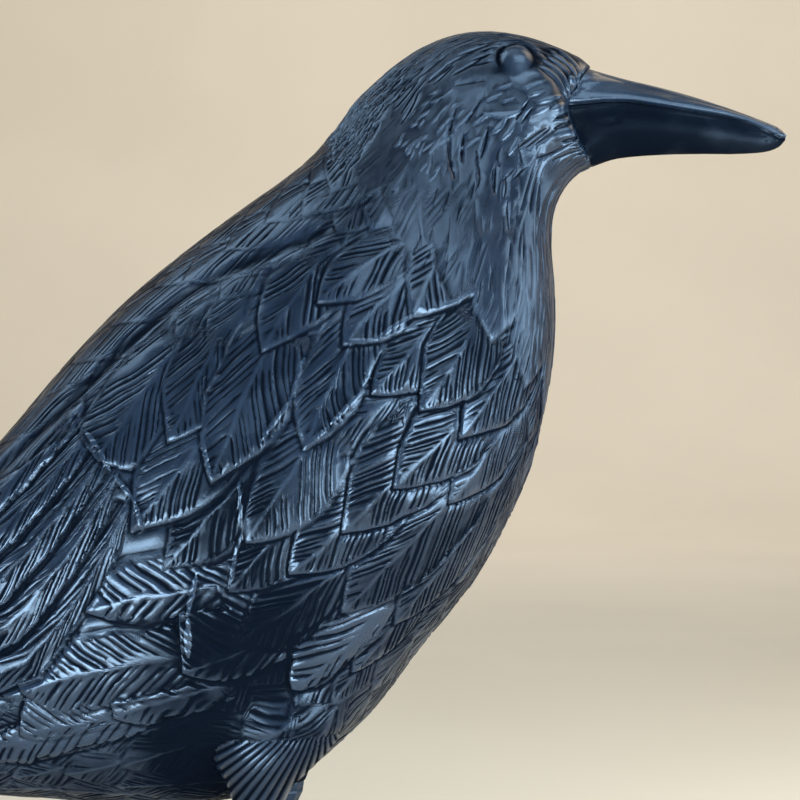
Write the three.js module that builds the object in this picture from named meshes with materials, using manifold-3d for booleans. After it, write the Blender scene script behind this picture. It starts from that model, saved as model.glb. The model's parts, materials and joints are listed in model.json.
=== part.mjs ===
// Crow decoy: a hollow moulded crow standing upright on two plug-in legs.
// Sizes are in millimetres. +X points along the beak, +Z up, and the soles stand on Z = 0.

import * as THREE from 'three';
import { mergeVertices } from 'three/addons/utils/BufferGeometryUtils.js';
import Module from 'manifold-3d';

const wasm = await Module();
wasm.setup();

// Driving dimensions of the moulded body
const birdLength = 334;          // level distance from the tail's end to the beak's tip
const wingSpanFolded = 100;      // greatest width, across the folded wings
const featherStep = 1.5;         // how far a feather's edge stands over the next one
const wingStep = 2.4;            // how far the folded wing stands off the flank
const grooveDepth = 2.6;         // the valley between the mantle and the wing
const vaneGroove = 1.3;          // the valleys between the long wing and tail feathers
const eyeRadius = 4.1;           // the eyeball, half sunk in the head
const gapeDepth = 0.9;           // the line of the mouth along the beak

// Driving dimensions of the legs, and of the joint between leg and thigh
const legHeight = 54;            // ground to the flat end of the thigh
const shankWidth = 6.4;
const collarWidth = 9.4;
const collarHeight = 3;
const collarTaper = 3;           // height over which the shank widens into the collar
const collarRim = 0.6;           // height of the collar's bevelled rim
const pegWidth = 6;
const pegLength = 11;
const pegPoint = 0.9;            // height of the peg's tapered end
const plugClearance = 0.3;       // between a leg and the thigh that it plugs into, all round
const ankleWidth = 8.6;
const hubHeight = 5.2;           // height of the foot where the toes meet
const toeWidth = 5.6;
const frontToeLength = 36;
const sideToeLength = 31;
const hindToeLength = 27;
const sideToeSpread = 30;        // degrees from the middle toe
const stanceWidth = 56;          // between the middles of the two feet

// How finely the forms are divided
const featherColumns = 7;        // feathers from the back to the belly, on one side
const columnSteps = 4;           // divisions across one feather
const beakRows = 9;
const beakSide = 7;
const legSides = 8;
const toeSides = 8;
const thighSides = 16;
const thighRows = 9;
const socketSides = 20;
const eyeSides = 10;
const eyeRows = 7;
const outlineSteps = 72;         // steps round one side of a station, to measure its outline
const shareStep = 0.02;          // step to each side of a point, to find the skin's lie there
const rowSearchStep = 0.02;      // step along the stations, to space the feather rows

// The side view is drawn on squares: the bird is gridLength squares long, from x = 0 at the tail's end,
// and heights are counted up from the ground of the drawing.
const gridLength = 1262;
const square = birdLength / gridLength;
const thighEndGrid = 205;
const halfWidthGrid = 190;       // the widest station's half width
const widthSquare = wingSpanFolded / 2 / halfWidthGrid;

// Stations of the body, from the tail's end to the edge of the face feathers. Each cuts the body from
// its top point to its bottom point: [top x, top z, bottom x, bottom z, half width, squareness, rise],
// in squares. Squareness is the exponent of the section's outline and rise lifts its widest point.
const bodyStations = [
  [0, 127, 8, 112, 84, 2.8, 0],
  [40, 159, 60, 133, 104, 2.8, 0.1],
  [105, 213, 140, 167, 112, 2.7, 0.2],
  [190, 283, 255, 205, 117, 2.6, 0.25],
  [285, 365, 385, 213, 128, 2.5, 0.25],
  [385, 465, 525, 205, 147, 2.4, 0.2],
  [480, 561, 650, 199, 166, 2.3, 0.15],
  [560, 653, 765, 223, 180, 2.3, 0.1],
  [620, 713, 844, 285, 188, 2.3, 0.05],
  [680, 761, 900, 356, 190, 2.3, 0],
  [730, 797, 953, 423, 186, 2.3, 0],
  [770, 825, 989, 485, 177, 2.3, 0],
  [796, 847, 1015, 550, 164, 2.2, 0],
  [812, 866, 1028, 613, 149, 2.2, 0],
  [824, 883, 1034, 670, 133, 2.2, 0],
  [836, 901, 1034, 717, 117, 2.2, 0],
  [853, 918, 1031, 755, 104, 2.2, 0],
  [876, 938, 1032, 783, 94, 2.2, 0],
  [904, 956, 1037, 803, 86, 2.2, 0],
  [936, 968, 1047, 820, 80, 2.2, 0],
  [970, 971, 1058, 831, 76, 2.2, 0],
  [1004, 966, 1067, 837, 70, 2.2, 0],
  [1034, 956, 1071, 840, 61, 2.2, 0],
  [1058, 945, 1072, 842, 51, 2.2, 0],
  [1071, 936, 1069, 844, 43, 2.2, 0],
];

// Stations of the beak, from inside the face to its blunt tip
const beakStations = [
  [1036, 939, 1040, 849, 33, 2, 0.1],
  [1070, 929, 1068, 842, 36, 2, 0.1],
  [1100, 924, 1098, 848, 32, 2, 0.1],
  [1140, 915, 1138, 851, 25, 2, 0.1],
  [1180, 902, 1177, 852, 18.5, 2, 0.1],
  [1215, 894, 1212, 851, 13, 2, 0.1],
  [1242, 883, 1240, 852, 9, 2, 0],
  [1262, 866, 1258, 854, 5.5, 2, 0],
];

// The mouth line in the side view, from the gape to the tip
const gapeLine = [[1050, 894], [1100, 898], [1140, 897], [1180, 890], [1220, 876], [1262, 862]];

// The folded wing's outline in the side view: the valley beside the mantle, and the edge over the flank
const wingTopEdge = [
  [840, 780], [800, 764], [774, 750], [664, 688], [586, 610], [450, 478], [300, 345], [190, 262],
];
const wingLowEdge = [
  [894, 697], [834, 656], [791, 559], [736, 472], [690, 425], [590, 416], [530, 364], [430, 300],
  [300, 262], [190, 240],
];

// Rows of feathers across the body, from the tail's end to the face: a row's length along the bird, in
// squares, where the rows run over the tail, the body and the neck and head
const tailRow = 84;
const bodyRow = 66;
const headRow = 48;
const tailStation = 4.6;         // the station where the tail's long feathers give way to short ones
const neckStation = 13;
const faceStation = 21.5;        // no feather rows are carved in front of it
const scallop = 0.42;            // how far a feather's tip stands out of its row, as a share of the row
const edgeWidth = 0.05;          // the sharpness of a feather's edge, as a share of the row

const eyePlace = [998, 934];
const eyeSunk = 0.3;             // share of the eyeball's radius that lies inside the head
const headStations = [18, 23];   // the stations that the eye lies between
const headShare = 0.6;           // share of the way round that lies over the cheek
const headSearchSteps = [0.1, 0.01];

// Thigh stubs: level sections [height, rear x, front x, half width, middle y], in squares
const thighSections = [
  [420, 752, 828, 26, 62],
  [380, 716, 846, 52, 70],
  [340, 698, 852, 66, 76],
  [300, 696, 842, 72, 82],
  [265, 708, 816, 64, 88],
  [235, 724, 786, 42, 93],
  [205, 732, 772, 26, 97],
];
const thighFolds = 9;            // carved strokes round the thigh
const thighFoldDepth = 0.06;     // share of the thigh's radius

const footGrid = 718;            // where the feet stand along the bird

// The leg's rings over the foot: height in hub heights, and radius as a share of the ankle's width
const ankleRings = [[0, 0.62], [0.6, 0.58], [1.5, 0.5]];
const shankFoot = 2.2;           // the shank's lower end, in hub heights
const waistHeight = 0.62;        // the shank's thinnest part, as a share of the leg's height
const waistShare = 0.94;         // its width, as a share of the shank's
const shankTopShare = 1.08;      // the shank's width where it starts to widen into the collar
const collarFootShare = 0.92;    // the collar's width at its lower edge, as a share of its width
const pegEndShare = 0.72;        // the peg's width at its end, as a share of its width

// A toe's rings: share of its length, and width and height as shares of the toe's width and the hub's
// height. Two joints swell it, and the claw arches over and comes down.
const toeRings = [
  [0, 1.1, 1], [0.3, 1.1, 0.9], [0.44, 0.84, 0.7], [0.57, 1, 0.8], [0.72, 0.74, 0.64],
  [0.84, 0.42, 0.56], [1, 0.12, 0.12],
];

const black = { color: 0x232b38, roughness: 0.42, metalness: 0 };

// A smooth curve through rows of numbers, read at a place between 0 and the last row
function through(rows, place) {
  const last = rows.length - 1;
  const i = Math.min(Math.floor(place), last - 1);
  const t = place - i;
  const before = rows[Math.max(i - 1, 0)];
  const from = rows[i];
  const to = rows[i + 1];
  const after = rows[Math.min(i + 2, last)];
  return from.map((value, k) => {
    const slopeFrom = i > 0 ? (to[k] - before[k]) / 2 : to[k] - value;
    const slopeTo = i + 1 < last ? (after[k] - value) / 2 : to[k] - value;
    const t2 = t * t;
    const t3 = t2 * t;
    return (2 * t3 - 3 * t2 + 1) * value + (t3 - 2 * t2 + t) * slopeFrom
      + (3 * t2 - 2 * t3) * to[k] + (t3 - t2) * slopeTo;
  });
}

// A point of the drawing in millimetres, level with the ground that the legs set
function fromGrid(x, z) {
  return [(x - gridLength / 2) * square, legHeight + (z - thighEndGrid) * square];
}

// A point in millimetres, on the drawing's squares
function toGrid(x, z) {
  return [x / square + gridLength / 2, (z - legHeight) / square + thighEndGrid];
}

// A point of the skin: its station along the bird, and its share of the way round one side from the top
// to the bottom. The outline of a station is stepped through finely, to find the point at that share.
function skinPoint(stations, place, share) {
  const [topX, topZ, bottomX, bottomZ, halfWidth, squareness, rise] = through(stations, place);
  const power = 2 / squareness;
  const points = [];
  const run = [];
  for (let i = 0; i <= outlineSteps; i += 1) {
    const angle = Math.PI * i / outlineSteps;
    const c = Math.sign(Math.cos(angle)) * Math.abs(Math.cos(angle)) ** power;
    const drop = (1 - c - rise * (1 - c * c)) / 2;
    const [x, z] = fromGrid(topX + (bottomX - topX) * drop, topZ + (bottomZ - topZ) * drop);
    const y = -halfWidth * widthSquare * Math.abs(Math.sin(angle)) ** power;
    points.push(new THREE.Vector3(x, i % outlineSteps ? y : 0, z));
    run.push(i ? run[i - 1] + points[i].distanceTo(points[i - 1]) : 0);
  }
  const goal = run[outlineSteps] * share;
  const k = Math.max(run.findIndex((length) => length >= goal - 1e-9), 1);
  return points[k - 1].clone().lerp(points[k], (goal - run[k - 1]) / (run[k] - run[k - 1]));
}

// A closed skin over rings of points that run the same way round
function skin(rings) {
  const count = rings[0].length;
  const position = [];
  const index = [];
  for (const ring of rings) for (const p of ring) position.push(p.x, p.y, p.z);
  for (let i = 0; i + 1 < rings.length; i += 1) {
    for (let j = 0; j < count; j += 1) {
      const a = i * count + j;
      const b = i * count + (j + 1) % count;
      index.push(a, b, a + count, b, b + count, a + count);
    }
  }
  for (const end of [0, rings.length - 1]) {
    const middle = new THREE.Vector3();
    for (const p of rings[end]) middle.addScaledVector(p, 1 / count);
    const centre = position.length / 3;
    position.push(middle.x, middle.y, middle.z);
    for (let j = 0; j < count; j += 1) {
      const a = end * count + j;
      const b = end * count + (j + 1) % count;
      if (end === 0) index.push(centre, b, a);
      else index.push(centre, a, b);
    }
  }
  const geometry = new THREE.BufferGeometry();
  geometry.setAttribute('position', new THREE.Float32BufferAttribute(position, 3));
  geometry.setIndex(index);
  return geometry;
}

// Least distance from a point of the side view to a line of points
function nearLine(line, [x, z]) {
  let least = Infinity;
  for (let i = 0; i + 1 < line.length; i += 1) {
    const [ax, az] = line[i];
    const dx = line[i + 1][0] - ax;
    const dz = line[i + 1][1] - az;
    const t = THREE.MathUtils.clamp(((x - ax) * dx + (z - az) * dz) / (dx * dx + dz * dz), 0, 1);
    least = Math.min(least, Math.hypot(x - ax - t * dx, z - az - t * dz));
  }
  return least;
}

// Whether a point of the side view lies inside a closed outline
function isInside(outline, [x, z]) {
  let inside = false;
  outline.forEach(([ax, az], i) => {
    const [bx, bz] = outline[(i + 1) % outline.length];
    if ((az > z) !== (bz > z) && x < ax + (bx - ax) * (z - az) / (bz - az)) inside = !inside;
  });
  return inside;
}

const wingOutline = [...wingTopEdge, ...[...wingLowEdge].reverse()];

// The station of each feather row, from the tail's end to the face
function featherRows() {
  const last = bodyStations.length - 1;
  const rows = [0];
  let [topX, topZ, bottomX, bottomZ] = bodyStations[0];
  let run = 0;
  for (let place = 0; place < last; place += rowSearchStep) {
    const next = through(bodyStations, place);
    run += Math.hypot(next[0] + next[2] - topX - bottomX, next[1] + next[3] - topZ - bottomZ) / 2;
    [topX, topZ, bottomX, bottomZ] = next;
    const row = place < tailStation ? tailRow : place < neckStation ? bodyRow : headRow;
    if (run >= row) {
      rows.push(place);
      run = 0;
    }
  }
  rows[rows.length - 1] = last;
  return rows;
}

// How far the carving moves the skin out at a point of the body, in millimetres. Rise is 1 on a feather's
// raised edge and 0 at its root, and wing is 1 on the feathers of the folded wing.
function carving(point, place, share, { rise, wing }) {
  const step = THREE.MathUtils.smoothstep;
  const side = toGrid(point.x, point.z);
  const behindFace = 1 - step(place, faceStation - 1, faceStation);
  const short = step(place, tailStation - 1, tailStation + 1) * behindFace;
  const neck = step(place, neckStation - 1, neckStation + 2);
  const long = 1 - step(place, tailStation, tailStation + 2);
  const valley = Math.abs(2 * THREE.MathUtils.euclideanModulo(share * featherColumns, 1) - 1) ** 3;
  let out = featherStep * short * (1 - 0.5 * neck) * rise + wingStep * wing;
  out -= vaneGroove * long * valley * step(place, 0, 0.6);
  const nearValley = 1 - step(nearLine(wingTopEdge, side), 4, 24);
  out -= grooveDepth * nearValley * step(side[0], 150, 300) * (1 - step(side[0], 780, 860));
  return out;
}

// The skin at a point, moved out along its own normal
function carvedPoint(stations, place, share, carve, feather) {
  const last = stations.length - 1;
  const point = skinPoint(stations, place, share);
  const fore = skinPoint(stations, Math.min(place + shareStep, last), share)
    .sub(skinPoint(stations, Math.max(place - shareStep, 0), share));
  const down = skinPoint(stations, place, Math.min(share + shareStep, 1))
    .sub(skinPoint(stations, place, Math.max(share - shareStep, 0)));
  const out = down.cross(fore);
  if (share === 0 || share === 1) out.setY(0);
  return point.addScaledVector(out.normalize(), carve(point, place, share, feather));
}

// The other side's points mirrored onto one side's, which makes a whole ring
function wholeRing(half) {
  const left = half.slice(1, -1).reverse().map((p) => new THREE.Vector3(p.x, -p.y, p.z));
  return [...half, ...left];
}

// Rings of the body. Each feather row has three: on its feathers' raised edge, halfway up its feathers,
// and where they vanish under the edge of the row in front. The edges run in points, and a row's points
// lie between those of the rows beside it.
function bodyRings() {
  const rows = featherRows();
  const sideSteps = featherColumns * columnSteps;
  const last = rows.length - 1;
  const station = (row) => {
    const i = THREE.MathUtils.clamp(Math.floor(row), 0, last - 1);
    return THREE.MathUtils.lerp(rows[i], rows[i + 1], row - i);
  };
  const edge = (row, share) => {
    const carved = rows[row] > tailStation && rows[row] < faceStation ? scallop : 0;
    const across = THREE.MathUtils.euclideanModulo(share * featherColumns + row / 2, 1);
    return row - carved * (1 - Math.abs(2 * across - 1) ** 1.6);
  };
  const onWing = (row, share) => {
    const column = Math.floor(share * featherColumns + row / 2 + 1e-6);
    const middle = THREE.MathUtils.clamp((column + 0.5 - row / 2) / featherColumns, 0, 1);
    const centre = skinPoint(bodyStations, station(row + 0.3), middle);
    return isInside(wingOutline, toGrid(centre.x, centre.z)) ? 1 : 0;
  };
  const rings = [];
  for (let row = 0; row <= last; row += 1) {
    const kinds = row === last ? [[0, 1]] : [[0, 1], [0.5, 0.45], [1, 0]];
    for (const [along, rise] of kinds) {
      const half = [];
      for (let i = 0; i <= sideSteps; i += 1) {
        const share = i / sideSteps;
        const from = edge(row, share);
        const to = row < last ? edge(row + 1, share) - edgeWidth : from;
        const place = station(THREE.MathUtils.lerp(from, to, along));
        half.push(carvedPoint(bodyStations, place, share, carving, { rise, wing: onWing(row, share) }));
      }
      rings.push(wholeRing(half));
    }
  }
  return rings;
}

function beakRings() {
  const rings = [];
  for (let row = 0; row <= beakRows; row += 1) {
    const half = [];
    for (let i = 0; i <= beakSide; i += 1) {
      const place = (beakStations.length - 1) * row / beakRows;
      half.push(carvedPoint(beakStations, place, i / beakSide, beakCarving));
    }
    rings.push(wholeRing(half));
  }
  return rings;
}

function toSolid(geometry) {
  const bare = geometry.clone();
  bare.deleteAttribute('normal');
  bare.deleteAttribute('uv');
  const merged = mergeVertices(bare, 1e-4);
  const mesh = new wasm.Mesh({
    numProp: 3,
    vertProperties: new Float32Array(merged.attributes.position.array),
    triVerts: new Uint32Array(merged.index.array),
  });
  return new wasm.Manifold(mesh);
}

function toMesh(solid, name) {
  const { vertProperties, triVerts } = solid.getMesh();
  const geometry = new THREE.BufferGeometry();
  geometry.setAttribute('position', new THREE.BufferAttribute(vertProperties, 3));
  geometry.setIndex(new THREE.BufferAttribute(triVerts, 1));
  geometry.computeVertexNormals();
  const mesh = new THREE.Mesh(geometry, new THREE.MeshStandardMaterial(black));
  mesh.name = name;
  return mesh;
}

// The line of the mouth, cut as a shallow valley along the beak
function beakCarving(point) {
  return -gapeDepth * (1 - THREE.MathUtils.smoothstep(nearLine(gapeLine, toGrid(point.x, point.z)), 1, 7));
}

// One thigh stub: level rings from inside the belly to the flat end that the leg's collar meets
function thighSolid(hand) {
  const rings = [];
  const last = thighSections.length - 1;
  for (let i = 0; i <= thighRows; i += 1) {
    const [height, rear, front, halfWidth, middleY] = through(thighSections, last * i / thighRows);
    const fold = thighFoldDepth * Math.min(1, 4 * i / thighRows * (1 - i / thighRows));
    const ring = [];
    for (let j = 0; j < thighSides; j += 1) {
      const angle = hand * 2 * Math.PI * j / thighSides;
      const reach = 1 + fold * Math.cos(thighFolds * angle);
      const [x, z] = fromGrid((rear + front) / 2 + reach * Math.cos(angle) * (front - rear) / 2, height);
      const y = (hand * middleY + reach * Math.sin(angle) * halfWidth) * widthSquare;
      ring.push(new THREE.Vector3(x, y, z));
    }
    rings.push(hand > 0 ? ring.reverse() : ring);
  }
  return toSolid(skin(rings));
}

// Where a leg plugs in: the middle of the thigh's flat end
function plugPlace(hand) {
  const [, rear, front, , middleY] = thighSections[thighSections.length - 1];
  return new THREE.Vector3(fromGrid((rear + front) / 2, 0)[0], hand * middleY * widthSquare, legHeight);
}

// Half the head's width at the eye
function eyeReach() {
  const [x, z] = fromGrid(...eyePlace);
  const [firstStation, lastStation] = headStations;
  const [stationStep, roundStep] = headSearchSteps;
  let nearest = skinPoint(bodyStations, firstStation, 0);
  for (let place = firstStation; place < lastStation; place += stationStep) {
    for (let share = 0; share < headShare; share += roundStep) {
      const point = skinPoint(bodyStations, place, share);
      if (Math.hypot(point.x - x, point.z - z) < Math.hypot(nearest.x - x, nearest.z - z)) nearest = point;
    }
  }
  return -nearest.y;
}

function bodySolid() {
  let solid = toSolid(skin(bodyRings()));
  solid = solid.add(toSolid(skin(beakRings())));
  for (const hand of [-1, 1]) {
    const eye = new THREE.SphereGeometry(eyeRadius, eyeSides, eyeRows);
    const [x, z] = fromGrid(...eyePlace);
    const y = eyeReach() - eyeRadius * eyeSunk;
    eye.translate(x, hand * y, z);
    solid = solid.add(toSolid(eye)).add(thighSolid(hand));
    const socketDepth = pegLength + plugClearance;
    const socketRadius = pegWidth / 2 + plugClearance;
    const mouth = plugClearance;
    const socket = new THREE.CylinderGeometry(socketRadius, socketRadius, socketDepth + mouth, socketSides);
    socket.rotateX(Math.PI / 2);
    const place = plugPlace(hand);
    socket.translate(place.x, place.y, place.z + (socketDepth - mouth) / 2);
    solid = solid.subtract(toSolid(socket));
  }
  return solid;
}

// A ring of points, flat below, for a toe that lies on the ground
function toeRing(origin, heading, reach, width, height) {
  const ring = [];
  const across = new THREE.Vector3(-Math.sin(heading), Math.cos(heading), 0);
  for (let j = 0; j < toeSides; j += 1) {
    const angle = 2 * Math.PI * (j + 0.5) / toeSides;
    const up = Math.max(Math.sin(angle), 0) * height;
    ring.push(new THREE.Vector3(Math.cos(heading), Math.sin(heading), 0).multiplyScalar(reach)
      .add(origin).addScaledVector(across, Math.cos(angle) * width / 2).setZ(up));
  }
  return ring;
}

// One toe, from the hub to its claw
function toeSolid(origin, heading, length) {
  const rings = toeRings.map(([share, width, height]) => (
    toeRing(origin, heading, share * length, width * toeWidth, height * hubHeight)));
  return toSolid(skin(rings));
}

// A leg and foot in one moulding: peg, collar, shank, ankle and four toes
function legSolid(hand) {
  const top = plugPlace(hand);
  const foot = new THREE.Vector3(fromGrid(footGrid, 0)[0], hand * stanceWidth / 2, 0);
  const legTop = legHeight - plugClearance;
  const collarFoot = legTop - collarHeight;
  const profile = [
    ...ankleRings.map(([height, radius]) => [height * hubHeight, radius * ankleWidth]),
    [shankFoot * hubHeight, shankWidth / 2],
    [waistHeight * legHeight, waistShare * shankWidth / 2],
    [collarFoot - collarTaper, shankTopShare * shankWidth / 2],
    [collarFoot, collarFootShare * collarWidth / 2],
    [legTop - collarRim, collarWidth / 2],
    [legTop, collarWidth / 2],
    [legTop, pegWidth / 2],
    [legTop + pegLength - pegPoint, pegWidth / 2],
    [legTop + pegLength, pegEndShare * pegWidth / 2],
  ];
  const rings = profile.map(([height, radius]) => {
    const climb = THREE.MathUtils.clamp(height / collarFoot, 0, 1);
    const middle = foot.clone().lerp(top, climb).setZ(height);
    const ring = [];
    for (let j = 0; j < legSides; j += 1) {
      const angle = 2 * Math.PI * j / legSides;
      ring.push(new THREE.Vector3(radius * Math.cos(angle), radius * Math.sin(angle), 0).add(middle));
    }
    return ring;
  });
  const spread = THREE.MathUtils.degToRad(sideToeSpread);
  let leg = toSolid(skin(rings));
  for (const [heading, length] of [
    [0, frontToeLength], [spread, sideToeLength], [-spread, sideToeLength], [Math.PI, hindToeLength],
  ]) {
    leg = leg.add(toeSolid(foot, heading, length));
  }
  return leg;
}

const crow = new THREE.Group();
crow.add(toMesh(bodySolid(), 'body'));
crow.add(toMesh(legSolid(-1), 'leg_right'));
crow.add(toMesh(legSolid(1), 'leg_left'));

export default crow;
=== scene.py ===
"""The looks of a moulded crow decoy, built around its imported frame, in metres."""
import json
import logging
import math
import random
from collections.abc import Callable
from dataclasses import dataclass, field
from enum import Enum
from functools import partial
from typing import Any

import bmesh
import bpy
import numpy as np
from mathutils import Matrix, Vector
from mathutils.kdtree import KDTree

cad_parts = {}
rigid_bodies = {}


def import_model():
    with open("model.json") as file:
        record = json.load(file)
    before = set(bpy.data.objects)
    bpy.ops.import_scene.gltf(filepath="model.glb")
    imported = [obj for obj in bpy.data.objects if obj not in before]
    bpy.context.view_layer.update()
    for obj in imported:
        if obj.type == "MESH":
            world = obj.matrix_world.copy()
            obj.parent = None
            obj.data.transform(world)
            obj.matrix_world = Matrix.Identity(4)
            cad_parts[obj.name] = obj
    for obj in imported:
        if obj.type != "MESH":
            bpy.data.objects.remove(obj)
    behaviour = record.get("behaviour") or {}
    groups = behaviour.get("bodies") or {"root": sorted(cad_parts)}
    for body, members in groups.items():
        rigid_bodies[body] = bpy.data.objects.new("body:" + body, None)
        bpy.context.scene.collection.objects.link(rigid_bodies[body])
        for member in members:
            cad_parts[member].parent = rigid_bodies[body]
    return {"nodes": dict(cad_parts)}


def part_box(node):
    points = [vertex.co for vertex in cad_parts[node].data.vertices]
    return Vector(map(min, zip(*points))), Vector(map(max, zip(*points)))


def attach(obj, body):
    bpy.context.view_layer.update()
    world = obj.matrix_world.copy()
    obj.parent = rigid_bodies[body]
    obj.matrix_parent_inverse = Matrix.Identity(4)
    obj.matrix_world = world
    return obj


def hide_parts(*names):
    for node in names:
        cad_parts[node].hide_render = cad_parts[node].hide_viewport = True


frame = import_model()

Array = np.ndarray
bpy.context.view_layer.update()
MM = 0.001
log = logging.getLogger("crow")


def smooth(value: Array | float, low: float, high: float) -> Array:
    """Returns 0 below low, 1 above high and a smooth climb between them."""
    t = np.clip((np.asarray(value) - low) / (high - low), 0, 1)
    return t * t * (3 - 2 * t)


def bell(value: Array | float, width: float) -> Array:
    """Returns a bell curve of value that is 1 at 0 and about a third at one width."""
    return np.exp(-((value / width) ** 2))


@dataclass(frozen=True)
class Drawing:
    """The side view that the stations are drawn in, in squares, and where it lies in the frame.

    Its widest station is as wide as the frame's body without the feathers carved on it.
    """

    low: Vector
    high: Vector
    length: float = 1262.0
    lowest: float = 112.0
    widest: float = 190.0
    carving: float = 3.7 * MM

    @property
    def square(self) -> float:
        """The side of one square."""
        return (self.high.x - self.low.x) / self.length

    @property
    def width_square(self) -> float:
        """The real size of one square of half width."""
        return (self.high.y - self.carving) / self.widest

    def x(self, squares: Array | float) -> Array | float:
        """Returns the place along the bird of squares from the tail's end."""
        return self.low.x + squares * self.square

    def z(self, squares: Array | float) -> Array | float:
        """Returns the height of squares above the drawing's ground."""
        return self.low.z + (squares - self.lowest) * self.square

    def squares(self, points: Array) -> tuple[Array, Array, Array]:
        """Returns points in squares: from the tail's end, of half width, and above the ground."""
        x = (points[..., 0] - self.low.x) / self.square
        z = (points[..., 2] - self.low.z) / self.square + self.lowest
        return x, np.abs(points[..., 1]) / self.width_square, z


def chance(number: Array, seed: float) -> Array:
    """Returns a number between 0 and 1 for each whole number, in no order that shows."""
    part = np.sin(12.9898 * number + 78.2 * seed) * 43758.5453
    return part - np.floor(part)


def through(rows: list[list[float]], place: Array) -> Array:
    """A smooth curve through rows of numbers.

    Args:
        rows: the rows that it passes, one at each whole place.
        place: where it is read, from 0 to the last row.

    Returns:
        One row of numbers for each place.
    """
    table = np.asarray(rows, float)
    place = np.asarray(place, float)
    i = np.clip(np.floor(place).astype(int), 0, len(table) - 2)
    t = (place - i)[:, None]
    slope = np.gradient(table, axis=0)
    return (
        (2 * t**3 - 3 * t**2 + 1) * table[i]
        + (t**3 - 2 * t**2 + t) * slope[i]
        + (3 * t**2 - 2 * t**3) * table[i + 1]
        + (t**3 - t**2) * slope[i + 1]
    )


class Skin:
    """The right half of a smooth skin, as a net of rows along the bird and columns from top to bottom."""

    OUTLINE_STEPS = 400
    MOST_LENGTHENED = 1.6
    MOST_WIDENED = 1.8

    def __init__(
        self, drawing: Drawing, stations: list[list[float]], places: Array, columns: int, bow: Array,
    ) -> None:
        """Works out the net's points and normals.

        Args:
            drawing: the side view of the stations.
            stations: top x, top z, bottom x, bottom z, half width, squareness and rise of each.
            places: the station place of each row.
            columns: how many columns the net has.
            bow: how far the middle of each row's side is drawn back, in squares.
        """
        self.drawing = drawing
        self.places = places
        self.shares = np.linspace(0, 1, columns)
        angle = np.linspace(0, np.pi, self.OUTLINE_STEPS + 1)
        points = []
        for row, back in zip(through(stations, places), bow):
            top_x, top_z, low_x, low_z, half_width, squareness, rise = row
            power = 2 / squareness
            level = np.sign(np.cos(angle)) * np.abs(np.cos(angle)) ** power
            drop = (1 - level - rise * (1 - level**2)) / 2
            x = drawing.x(top_x + (low_x - top_x) * drop - back * np.sin(np.pi * drop) ** 1.5)
            z = drawing.z(top_z + (low_z - top_z) * drop)
            y = -half_width * drawing.width_square * np.abs(np.sin(angle)) ** power
            y[[0, -1]] = 0
            step = np.sqrt(np.diff(x) ** 2 + np.diff(y) ** 2 + np.diff(z) ** 2)
            run = np.concatenate([[0], np.cumsum(step)])
            goal = self.shares * run[-1]
            points.append(np.stack([np.interp(goal, run, part) for part in (x, y, z)], axis=1))
        self.points = np.array(points)
        self.girth = np.linalg.norm(np.diff(self.points, axis=1), axis=2).sum(axis=1)
        fore = np.gradient(self.points, axis=0)
        down = np.gradient(self.points, axis=1)
        out = np.cross(down, fore)
        out[:, [0, -1], 1] = 0
        self.normals = out / np.maximum(np.linalg.norm(out, axis=2, keepdims=True), 1e-12)
        middle = np.linalg.norm(np.diff(self.points[:, columns // 2], axis=0), axis=1)
        self.run = np.concatenate([[0], np.cumsum(middle)])

    def row(self, place: float) -> int:
        """Returns the row nearest to a station place."""
        return int(np.argmin(np.abs(self.places - place)))

    def column(self, share: float) -> int:
        """Returns the column nearest to a share of the way round."""
        return int(np.clip(round(share * (len(self.shares) - 1)), 0, len(self.shares) - 1))

    def place_at(self, run: float) -> float:
        """Returns the station place at a length along the middle of the skin."""
        return float(np.interp(run, self.run, self.places))

    def run_at(self, place: float) -> float:
        """Returns the length along the middle of the skin at a station place."""
        return float(np.interp(place, self.places, self.run))

    def girth_at(self, place: float) -> float:
        """Returns the length of half the way round at a station place."""
        return float(self.girth[self.row(place)])

    def find(self, x: float, z: float) -> tuple[float, float]:
        """The spot of the skin behind a point of the drawing.

        Args:
            x: squares from the tail's end.
            z: squares above the drawing's ground.

        Returns:
            The spot's station place and share.
        """
        off = np.hypot(self.points[..., 0] - self.drawing.x(x), self.points[..., 2] - self.drawing.z(z))
        i, j = np.unravel_index(np.argmin(off), off.shape)
        return float(self.places[i]), float(self.shares[j])

    def drawn(self, place: float, share: float, lean: float) -> tuple[float, float, float]:
        """How a line of the side view lies on the skin.

        Args:
            place: station place where it starts.
            share: share of the way round where it starts.
            lean: its angle over the level, in degrees.

        Returns:
            The degrees that it turns up from the flow of the stations, and by how much lengths and widths
            on the skin are greater than they look.
        """
        i = int(np.clip(self.row(place), 1, len(self.places) - 2))
        j = int(np.clip(self.column(share), 1, len(self.shares) - 2))
        normal = self.normals[i, j]
        fore = self.points[i + 1, j] - self.points[i - 1, j]
        fore = fore - normal * np.dot(fore, normal)
        fore /= np.linalg.norm(fore)
        up = np.cross(normal, fore)
        sight = np.array([[fore[0], up[0]], [fore[2], up[2]]])
        heading = np.array([math.cos(math.radians(lean)), math.sin(math.radians(lean))])
        ahead, aside = np.linalg.solve(sight, heading)
        run_scale = math.hypot(ahead, aside)
        side = sight @ np.array([-aside, ahead]) / run_scale
        width_scale = min(1 / abs(side @ np.array([-heading[1], heading[0]])), self.MOST_WIDENED)
        return math.degrees(math.atan2(aside, ahead)), min(run_scale, self.MOST_LENGTHENED), width_scale

    def raised(self, height: Array) -> Array:
        """Returns the net's points, each moved out by its height, with the two edges in the middle plane."""
        made = self.points + self.normals * height[..., None]
        made[:, [0, -1], 1] = 0
        return made


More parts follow.
